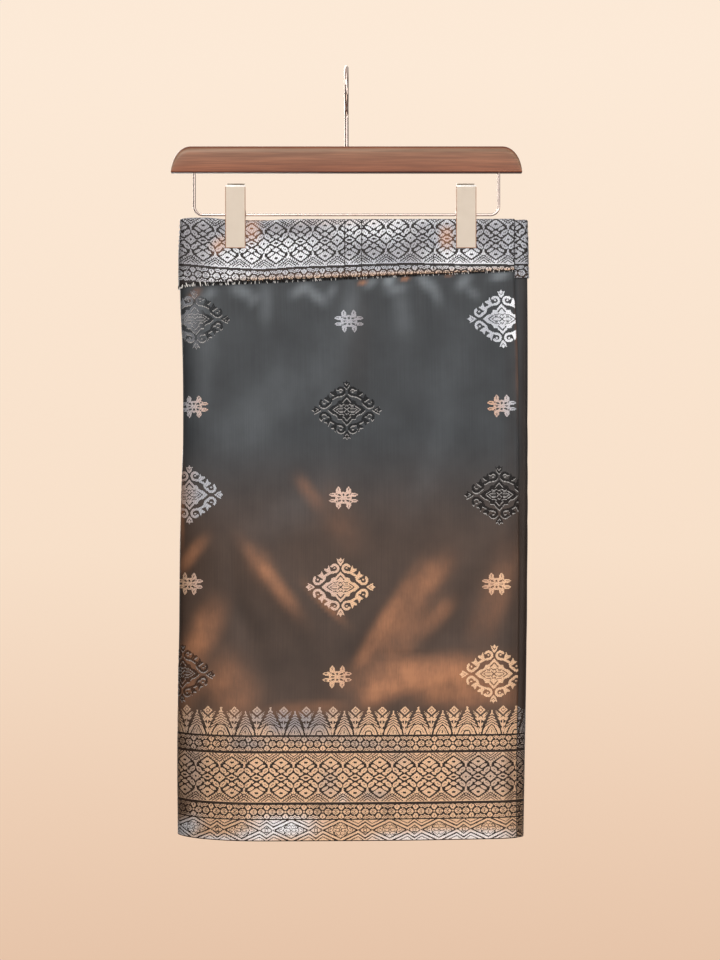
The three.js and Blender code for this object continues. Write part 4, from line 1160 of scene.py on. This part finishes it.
# Down the flap, in its three columns from the right: x and drop of each motif's middle, and the
# painted reflection on its thread at the left and at the right
FLAP_MOTIFS = [
    [(168.3, 270.0, SILVER, WHITE), (2.9, 272.2, SILVER, GREY), (-163.6, 270.0, 0.5 * SILVER, REFLECTED_BLACK)],
    [(167.9, 364.0, COPPER_THREAD, SILVER), (0.5, 368.3, REFLECTED_BLACK, REFLECTED_BLACK),
     (-164.7, 365.0, SILVER, ROSE_SILVER)],
    [(165.0, 460.1, REFLECTED_BLACK, REFLECTED_BLACK), (-3.0, 463.3, ROSE_SILVER, ROSE_SILVER),
     (-170.0, 460.1, ROSE_SILVER, SILVER)],
    [(162.0, 556.2, COPPER_THREAD, PEACH), (-6.2, 559.4, ROSE_SILVER, PEACH),
     (-170.0, 556.2, PEACH, ROSE_SILVER)],
    [(159.2, 653.4, PEACH, PEACH), (-9.8, 655.9, PEACH, COPPER_THREAD),
     (-178.6, 653.4, DARK_COPPER, REFLECTED_BLACK)],
]
# The painted reflection on the motifs' thread round the back, in turn
BACK_THREADS = [SILVER, PEACH, ROSE_SILVER, REFLECTED_BLACK, SILVER, COPPER_THREAD, PEACH]
motifs = []
for row_at, line in enumerate(FLAP_MOTIFS):
    for column, (x, drop, *threads) in enumerate(line):
        inwards = (column - 1) * (36 if (column + row_at) % 2 == 0 else 15)
        motifs.append((column, row_at, u_at(x + inwards, drop) + inwards, drop, *threads))
for row_at, (_, _, u_mid, drop, _, _) in enumerate(motifs[2::3]):
    for column in range(3, 7):
        thread = BACK_THREADS[(column + 3 * row_at) % 7]
        motifs.append((column, row_at, u_mid + MOTIF_APART * (column - 2), drop, thread, thread))
motif_rows = np.arange(236, 688, ROW)


def motif_chart(us, rows, chosen=motifs):
    filled = np.zeros((len(rows), len(us)), bool)
    for column, row_at, u_mid, drop, *_ in chosen:
        chart, wide, tall = (DIAMOND, 39, 33) if (column + row_at) % 2 == 0 else (BLOOM, 18, 14)
        i, j = np.abs(rows - drop) < tall, np.abs(us - u_mid) < wide
        x, y = np.meshgrid(np.abs(us[j] - u_mid), np.abs(rows[i] - drop))
        filled[np.ix_(i, j)] |= charted(chart, x, y)
    return filled


def motif_tint(x, drop, way, u):
    """Each motif's painted reflection, turning from its left to its right colour across its middle."""
    middles = np.array([(m[2], m[3]) for m in motifs])
    apart = np.stack([u, drop], axis=1)[:, None, :] - middles[None]
    nearest = np.hypot(apart[..., 0], apart[..., 1]).argmin(axis=1)
    left, right = (np.array([m[k] for m in motifs])[nearest] for k in (4, 5))
    share = np.clip((middles[nearest, 0] - u) / 24 + 0.5, 0, 1)[:, None]
    return mix(left, right, share)


motif_pieces = threads_all_round("motif", on_face, motif_rows, motif_chart, motif_tint)

# Where the thread is painted black as a dark reflection, pale thread along its lower edge and in the
# ground it leaves is a painted highlight
RIM_DOWN = 1.5
BLACK_REFLECTION_MOTIFS = [motif for motif in motifs if motif[4] is REFLECTED_BLACK or motif[5] is REFLECTED_BLACK]
rim_us = CELLS[CELL_WAY < BACK_END]
black_reflection_charts = [motif_chart(rim_us, motif_rows - down, BLACK_REFLECTION_MOTIFS) for down in (0, RIM_DOWN * ROW)]
motif_pieces.append(threads_of(
    "motif_threads_highlight_rims", on_face, rim_us, motif_rows, black_reflection_charts[1] & ~black_reflection_charts[0],
    lambda x, drop, way, u: np.tile(linear("#a8a5a3"), (len(x), 1)),
))

# ---- The wooden bar ----
# Walnut turned flat below and rounded over its top, its ends rounded off to quarter ellipses. It is
# sanded and varnished satin; the hook and both ends of the wire are sunk in it.
BAR = {"length": 380.0, "tall": 28.6, "deep": 15.0, "top": 82.6, "end": 21.0}


def bar_ring(x, tall):
    """The bar's outline at x: sharp corners eased below, a generous round over the top."""
    half = BAR["deep"] / 2
    wide, high = 6.0, min(7.8, tall * 0.7)
    edge = min(1.2, tall * 0.2)
    quarter = np.radians(np.linspace(0, 90, 9))
    right = [(half - edge + edge * np.sin(a), edge - edge * np.cos(a)) for a in quarter[::2]]
    right += [(half - wide + wide * np.cos(a), tall - high + high * np.sin(a)) for a in quarter]
    ring = right + [(-y, z) for y, z in reversed(right)]
    return [(x, y, z - BAR["top"] - BAR["tall"]) for y, z in ring]


def skin_of(name, rings):
    """A closed body through equal rings, each ring a loop, its ends filled."""
    rings = np.asarray(rings, float)
    count, sides = rings.shape[:2]
    ids = np.arange(count * sides).reshape(count, sides)
    near, far = ids[:-1], ids[1:]
    quads = np.stack([near, far, np.roll(far, -1, axis=1), np.roll(near, -1, axis=1)], axis=-1)
    corners = np.concatenate([quads.ravel(), ids[0], ids[-1][::-1]])
    made = mesh_of(name, rings.reshape(-1, 3), corners, [4] * ((count - 1) * sides) + [sides] * 2)
    shape = bmesh.new()
    shape.from_mesh(made.data)
    bmesh.ops.recalc_face_normals(shape, faces=shape.faces)
    shape.to_mesh(made.data)
    shape.free()
    return made


# How painted shade and sheen tint the wood up one side of the bar, the corner below, then the round:
# painted shade low on the corner, a painted grey sheen over the round, painted shade again at its top
# edge
RING_SHADE_AND_SHEEN = [
    (0.4, 0.16, 0.06), (0.42, 0.18, 0.08), (0.5, 0.24, 0.12), (0.9, 0.62, 0.4), (1.12, 0.96, 0.78),
    (1.14, 1.36, 1.42), (1.18, 1.66, 1.9), (1.24, 1.9, 2.3), (1.24, 1.9, 2.3), (1.1, 1.2, 1.1),
    (0.76, 0.4, 0.2), (0.6, 0.26, 0.1), (0.56, 0.22, 0.08), (0.56, 0.22, 0.08),
]
bar_turns = np.radians([0, 10, 20, 29, 38, 45, 52, 58, 64, 69, 74, 78, 82, 85, 87.5])
bar_flat = BAR["length"] / 2 - BAR["end"]
bar_ends = [(bar_flat + BAR["end"] * np.sin(a), BAR["tall"] * np.cos(a)) for a in bar_turns]
bar_places = [(-x, tall) for x, tall in reversed(bar_ends)]
bar_places += [(x, BAR["tall"]) for x in np.linspace(-120, 120, 7)] + bar_ends
wooden_bar = skin_of("wooden_bar", [bar_ring(x, tall) for x, tall in bar_places])
lay_colour_and_painted_light(wooden_bar, "shade_and_sheen", np.tile(RING_SHADE_AND_SHEEN + RING_SHADE_AND_SHEEN[::-1], (len(bar_places), 1)))


def varnished_walnut():
    """Walnut: long fine grain with darker pores, a painted grey sheen over the round and painted shade
    at its corners.
    """
    material, tree, shader = principled(
        "varnished_walnut", Roughness=0.46, Coat_Weight=0.15, Coat_Roughness=0.32,
        Specular_IOR_Level=0.35,
    )
    place = in_space(tree)
    warp = node(tree, "ShaderNodeMapping", Vector=place, Scale=(6, 70, 130))
    bands = node(tree, "ShaderNodeTexNoise", Vector=warp.outputs["Vector"], Scale=1.6, Detail=5.0)
    ramp = node(tree, "ShaderNodeValToRGB", Fac=bands.outputs["Fac"])
    stops = ramp.color_ramp.elements
    stops[0].position, stops[0].color = 0.3, (*linear("#70432d"), 1)
    stops[1].position, stops[1].color = 0.72, (*linear("#87553d"), 1)
    stops.new(0.5).color = (*linear("#7c4c35"), 1)
    fine = node(tree, "ShaderNodeMapping", Vector=place, Scale=(14, 420, 520))
    pores = node(tree, "ShaderNodeTexNoise", Vector=fine.outputs["Vector"], Scale=1.5, Detail=3.0)
    shade = node(
        tree, "ShaderNodeMapRange", Value=pores.outputs["Fac"],
        From_Min=0.3, From_Max=0.62, To_Min=0.74, To_Max=1.06,
    )
    wood = node(
        tree, "ShaderNodeVectorMath", {"operation": "SCALE"},
        _0=ramp.outputs["Color"], Scale=shade.outputs["Result"],
    )
    wood_with_painted_light = node(
        tree, "ShaderNodeVectorMath", {"operation": "MULTIPLY"},
        _0=wood.outputs["Vector"], _1=laid_colour_and_painted_light(tree, "shade_and_sheen"),
    )
    feed(tree, shader, Base_Color=wood_with_painted_light.outputs["Vector"])
    roughen(tree, shader, pores.outputs["Fac"], 0.18, 0.0002)
    return material


wooden_bar.data.materials.append(varnished_walnut())
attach(wooden_bar, "root")
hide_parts("hanger_bar")

# ---- The hook and the wire under the bar ----
# Round steel wire, bent cold and plated a polished rose silver. The hook's shank is sunk in the
# bar's top; the thinner wire has its two ends in the bar's underside, and the clips slide on it.


def wire_tree():
    """Draws round wire along a curve, as thick as Radius and with as many Sides as asked."""
    tree, given = node_tree(
        "bent_wire", "Wire", Path="Geometry", Radius="Float", Sides="Int", Finish="Material",
    )
    ring = node(
        tree, "GeometryNodeCurvePrimitiveCircle", Radius=given["Radius"], Resolution=given["Sides"],
    )
    drawn = node(
        tree, "GeometryNodeCurveToMesh", Curve=given["Path"], Profile_Curve=ring.outputs["Curve"],
        Fill_Caps=True,
    )
    smooth = node(tree, "GeometryNodeSetShadeSmooth", Geometry=drawn.outputs["Mesh"])
    real = node(tree, "GeometryNodeRealizeInstances", Geometry=smooth.outputs["Geometry"])
    plated = node(
        tree, "GeometryNodeSetMaterial", Geometry=real.outputs["Geometry"], Material=given["Finish"],
    )
    node(tree, "NodeGroupOutput", Wire=plated.outputs["Geometry"])
    return tree


def path_of(points, radii=None):
    """A curve through points in millimetres, thinned by radii."""
    line = bpy.data.curves.new("path", "CURVE")
    line.dimensions = "3D"
    spline = line.splines.new("POLY")
    spline.points.add(len(points) - 1)
    for k, point in enumerate(points):
        spline.points[k].co = (*(np.asarray(point, float) * MM), 1)
        spline.points[k].radius = 1.0 if radii is None else radii[k]
    return placed("path", line)


def arc(cx, cz, radius, start, end, steps):
    """Points on an arc in a plane, its angles in degrees."""
    turns = np.radians(np.linspace(start, end, steps))
    return [(cx + radius * np.cos(a), cz + radius * np.sin(a)) for a in turns]


def polished_rose():
    """Polished plating, rubbed a little duller in small patches."""
    material, tree, shader = principled(
        "polished_rose", Base_Color=(0.7, 0.57, 0.51, 1), Metallic=1.0,
    )
    dull = noise(tree, in_space(tree), (900, 900, 900), 3.0, 0.3, 0.8, 0.2, 0.25)
    feed(tree, shader, Roughness=dull)
    return material


ROSE = polished_rose()
WIRE_TREE = wire_tree()
HOOK_RING, HOOK_BEND, HOOK_RADIUS = 22.25, 12.0, 2.25
RING_AT, HOOK_TIP = -20, -25
hook_rise = np.sqrt((HOOK_RING + HOOK_BEND) ** 2 - HOOK_BEND**2)
hook_meet = np.degrees(np.arctan2(hook_rise, HOOK_BEND))
hook_line = [(0, -(BAR["top"] + 14)), (0, -BAR["top"]), (0, -68)]
hook_line += arc(-HOOK_BEND, RING_AT - hook_rise, HOOK_BEND, 0, hook_meet, 16)
hook_line += arc(0, RING_AT, HOOK_RING, hook_meet + 180, HOOK_TIP, 72)[1:]
tip, tip_turn = hook_line[-1], np.radians(HOOK_TIP - 90)
hook_radii = [1.0] * len(hook_line)
for rise in np.radians([15, 30, 45, 60, 75, 86]):
    reach = HOOK_RADIUS * np.sin(rise)
    hook_line.append((tip[0] + reach * np.cos(tip_turn), tip[1] + reach * np.sin(tip_turn)))
    hook_radii.append(float(np.cos(rise)))
hook_wire = grown(
    "hook_wire", path_of([(0, y, z) for y, z in hook_line], hook_radii), WIRE_TREE, ROSE,
    Radius=HOOK_RADIUS * MM, Sides=28,
)
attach(hook_wire, "root")
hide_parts("hook")

WIRE_HALF, WIRE_CORNER, WIRE_DROP, WIRE_IN_BAR = 165.0, 9.0, 156.6, 100.2
wire_low = WIRE_CORNER - WIRE_DROP
wire_line = [(-WIRE_HALF, -WIRE_IN_BAR), (-WIRE_HALF, -125)]
wire_line += arc(WIRE_CORNER - WIRE_HALF, wire_low, WIRE_CORNER, 180, 270, 12)
wire_line += [(x, -WIRE_DROP) for x in np.linspace(-140, 140, 5)]
wire_line += arc(WIRE_HALF - WIRE_CORNER, wire_low, WIRE_CORNER, 270, 360, 12)
wire_line += [(WIRE_HALF, -125), (WIRE_HALF, -WIRE_IN_BAR)]
bent_wire = grown(
    "bent_wire", path_of([(x, 0, z) for x, z in wire_line]), WIRE_TREE, ROSE,
    Radius=1.5 * MM, Sides=22,
)
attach(bent_wire, "root")
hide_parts("wire_frame")

# ---- The two clips ----
# Each is two trays pressed from champagne plated sheet, lugged on to the wire, with a coil spring
# round the wire that closes their jaws on the waistband.


def champagne_sheet():
    """Satin plating over pressed sheet: a fine sandy grain, rubbed a little brighter in places."""
    material, tree, shader = principled(
        "champagne_sheet", Base_Color=(*linear("#c0b3a4"), 1), Metallic=0.35,
    )
    place = in_space(tree)
    grain = node(tree, "ShaderNodeTexNoise", Vector=place, Scale=2600.0, Detail=2.0)
    dull = noise(tree, place, (120, 120, 120), 3.0, 0.3, 0.7, 0.4, 0.56)
    feed(tree, shader, Roughness=dull)
    roughen(tree, shader, grain.outputs["Fac"], 0.3, 0.00012)
    return material


CHAMPAGNE = champagne_sheet()
# Painted light on the plates: a dark copper painted reflection on the rim, a near-white painted
# highlight on the bend
DARK_REFLECTED_EDGE, HIGHLIGHT_BEND, SPRING_STEEL = (
    principled(name, Base_Color=(*colour, 1), Metallic=metallic, Roughness=roughness)[0]
    for name, colour, metallic, roughness in (
        ("painted_dark_edge", (0.3, 0.15, 0.09), 0.5, 0.42),
        ("painted_highlight_bend", (0.96, 0.93, 0.89), 0.1, 0.3),
        ("spring_steel", (0.62, 0.6, 0.58), 1.0, 0.28),
    )
)


# Radius of the bend, width of the rim painted dark, and how far every other edge is eased
BEND, RIM, EASED = 1.5, 0.75, 0.26


def pressed_plate(name, solid_name):
    """The plate's solid, bent round at its top with a painted highlight on the bend, and a dark copper
    painted reflection on the rim at its sides.
    """
    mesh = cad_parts[solid_name].data.copy()
    shape = bmesh.new()
    shape.from_mesh(mesh)
    bmesh.ops.remove_doubles(shape, verts=shape.verts, dist=1e-6)
    bmesh.ops.dissolve_limit(
        shape, angle_limit=np.radians(2), verts=shape.verts, edges=shape.edges,
    )
    top = max(point.co.z for point in shape.verts)
    out = max(abs(point.co.y) for point in shape.verts)
    fold = [
        edge for edge in shape.edges
        if all(p.co.z > top - 0.05 * MM and abs(p.co.y) > out - 0.05 * MM for p in edge.verts)
    ]
    bent = bmesh.ops.bevel(
        shape, geom=fold, offset=BEND * MM, segments=4, profile=0.5, affect="EDGES",
    )
    for face in bent["faces"]:
        face.material_index = 2
    outer = max(shape.faces, key=lambda face: face.calc_area())
    crown = max(point.co.z for point in outer.verts)
    bmesh.ops.inset_individual(shape, faces=[outer], thickness=RIM * MM, use_even_offset=True)
    for face in (face for edge in outer.edges for face in edge.link_faces if face is not outer):
        if min(point.co.z for point in face.verts) < crown - 2 * MM:
            face.material_index = 1
    mesh.name = name
    mesh.materials.clear()
    for finish in (CHAMPAGNE, DARK_REFLECTED_EDGE, HIGHLIGHT_BEND):
        mesh.materials.append(finish)
    shape.to_mesh(mesh)
    shape.free()
    piece = placed(name, mesh)
    rounding = piece.modifiers.new("eased edge", "BEVEL")
    rounding.width, rounding.segments, rounding.limit_method = EASED * MM, 2, "ANGLE"
    rounding.angle_limit = np.radians(35)
    rounding.harden_normals = True
    mesh.polygons.foreach_set("use_smooth", np.ones(len(mesh.polygons), bool))
    return piece


SPRING_TURNS, SPRING_HALF, SPRING_RING = 12, 7.3, 2.95


def spring_line(clip_x):
    """The spring's turns round the wire, and its two legs up to the plates."""
    angles = np.linspace(0, SPRING_TURNS * 2 * np.pi, SPRING_TURNS * 16 + 1)
    coil = [
        (clip_x + x, SPRING_RING * np.cos(a), SPRING_RING * np.sin(a) - WIRE_DROP)
        for x, a in zip(np.linspace(-SPRING_HALF, SPRING_HALF, len(angles)), angles)
    ]
    first, last = (
        [(clip_x + side * SPRING_HALF, y, z - WIRE_DROP) for y, z in ((7.0, 10.5), (4.3, 4.6))]
        for side in (-1, 1)
    )
    return first + coil + last[::-1]


for side, clip_x in zip(("left", "right"), CLIP_XS):
    for part in ("front", "back"):
        plate = pressed_plate(f"{side}_plate_{part}", f"clip_{side}_{part}")
        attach(plate, "root")
        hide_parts(f"clip_{side}_{part}")
    spring = grown(
        f"{side}_spring", path_of(spring_line(clip_x)), WIRE_TREE, SPRING_STEEL,
        Radius=0.55 * MM, Sides=10,
    )
    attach(spring, "root")
    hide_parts(f"clip_{side}_spring")

# ---- The studio ----
# A pale round room with its floor far below, so the wrap is seen against the same paper from every
# side. A broad key light from the upper left, a wide fill, and gentle ones in front, at the right
# edge, overhead, behind and from the floor.


def glow(name, place, aim, size, watts, colour=(1, 1, 1)):
    lamp = bpy.data.lights.new(name, "AREA")
    lamp.shape, lamp.size, lamp.energy, lamp.color = "SQUARE", size, watts, colour
    held = placed(name, lamp)
    held.location = place
    held.visible_camera = False
    held.rotation_euler = (Vector(aim) - Vector(place)).to_track_quat("-Z", "Y").to_euler()


ROOM_RADIUS, FLOOR_AT, ROOM_TOP, SWEEP, ROOM_SIDES = 4600.0, -2500.0, 3900.0, 900.0, 72
room_line = [(1.0, FLOOR_AT), (1800.0, FLOOR_AT)] + [
    (ROOM_RADIUS - SWEEP + SWEEP * np.sin(a), FLOOR_AT + SWEEP - SWEEP * np.cos(a))
    for a in np.radians(np.linspace(0, 90, 19))
] + [(ROOM_RADIUS, z) for z in (-900.0, 0.0, 900.0, ROOM_TOP)]
round_room = np.linspace(0, 2 * np.pi, ROOM_SIDES, endpoint=False)
room_points = np.array([[r * np.cos(a), r * np.sin(a), z] for r, z in room_line for a in round_room])
room_ids = np.arange(len(room_points)).reshape(-1, ROOM_SIDES)
room_next = np.roll(room_ids, -1, axis=1)
room_quads = np.stack([room_ids[:-1], room_next[:-1], room_next[1:], room_ids[1:]], axis=-1)
backdrop = mesh_of("backdrop", room_points, room_quads.ravel(), np.full(room_quads.size // 4, 4))
for unseen_by in ("visible_diffuse", "visible_glossy", "visible_transmission", "visible_shadow"):
    setattr(backdrop, unseen_by, False)
# The paper is painted light: it glows on its own, graded from darker and warmer at the floor to pale
# at the top
paper, paper_tree, paper_shader = principled(
    "glowing_studio_paper", Base_Color=(0.03, 0.025, 0.02, 1), Roughness=0.9, Specular_IOR_Level=0.1,
    Emission_Strength=0.97,
)
paper_height = node(paper_tree, "ShaderNodeSeparateXYZ", Vector=in_space(paper_tree)).outputs["Z"]
paper_ramp = node(paper_tree, "ShaderNodeValToRGB", Fac=node(
    paper_tree, "ShaderNodeMapRange", Value=paper_height, From_Min=-2.1, From_Max=0.8,
).outputs["Result"])
paper_stops = paper_ramp.color_ramp.elements
for place, code in ((0.0, "#e3bfa3"), (0.25, "#efd0b6"), (0.5, "#f9e1ca"), (1.0, "#feebd8")):
    stop = paper_stops[0] if place == 0 else paper_stops[-1] if place == 1 else paper_stops.new(place)
    stop.color = (*linear(code), 1)
feed(paper_tree, paper_shader, Emission_Color=paper_ramp.outputs["Color"])
backdrop.data.materials.append(paper)

glow("key", (-0.75, -1.9, 0.95), (0, 0, -0.42), 1.1, 30, (1.0, 0.97, 0.94))
glow("fill", (1.0, -2.3, 0.2), (0, 0, -0.45), 1.9, 17, (0.96, 0.98, 1.0))
glow("front", (0.0, -2.8, -0.6), (0, 0, -0.6), 1.4, 10)
glow("right_edge", (2.3, -0.9, -0.5), (0.19, 0, -0.5), 0.9, 9, (1.0, 0.93, 0.86))
glow("overhead", (0.0, -0.5, 0.8), (0, 0, -0.15), 0.5, 1.1)
glow("behind", (-0.9, 2.7, 0.4), (0, 0, -0.45), 1.8, 75, (1.0, 0.95, 0.9))
glow("floor_bounce", (0.0, -1.3, -1.75), (0, 0, -0.55), 1.3, 8.5, (1.0, 0.84, 0.7))

world = bpy.context.scene.world or bpy.data.worlds.new("studio")
bpy.context.scene.world = world
world.use_nodes = True
room = world.node_tree
way_out = node(room, "ShaderNodeTexCoord").outputs["Generated"]
parts = node(room, "ShaderNodeSeparateXYZ", Vector=way_out)
overhead = node(
    room, "ShaderNodeMapRange", Value=parts.outputs["Z"],
    From_Min=-0.3, From_Max=0.8, To_Min=0.24, To_Max=0.64,
)
# Darker walls at both sides, so that the plating has something to show
aside = node(room, "ShaderNodeMath", {"operation": "ABSOLUTE"}, _0=parts.outputs["X"])
walls = node(
    room, "ShaderNodeMapRange", Value=aside.outputs["Value"],
    From_Min=0.55, From_Max=0.9, To_Min=1.0, To_Max=0.25,
)
dimmed = node(
    room, "ShaderNodeMath", {"operation": "MULTIPLY"},
    _0=overhead.outputs["Result"], _1=walls.outputs["Result"],
)
feed(
    room, room.nodes["Background"],
    Color=(1.0, 0.94, 0.89, 1), Strength=dimmed.outputs["Value"],
)
bpy.context.scene.view_settings.view_transform = "Standard"

# The camera faces the flap squarely: how far off, how tall its picture is there, and what it faces
CAMERA_AWAY, PICTURE_TALL, CAMERA_AIM, SENSOR = 2.6, 1.0368, (0.0146, -0.010, -0.4441), 36
camera_data = bpy.data.cameras.new("camera")
camera_data.sensor_width = SENSOR
camera_data.lens = CAMERA_AWAY * SENSOR / PICTURE_TALL
camera = placed("camera", camera_data)
camera.location = (CAMERA_AIM[0], CAMERA_AIM[1] - CAMERA_AWAY, CAMERA_AIM[2])
camera.rotation_euler = (np.pi / 2, 0, 0)
bpy.context.scene.camera = camera
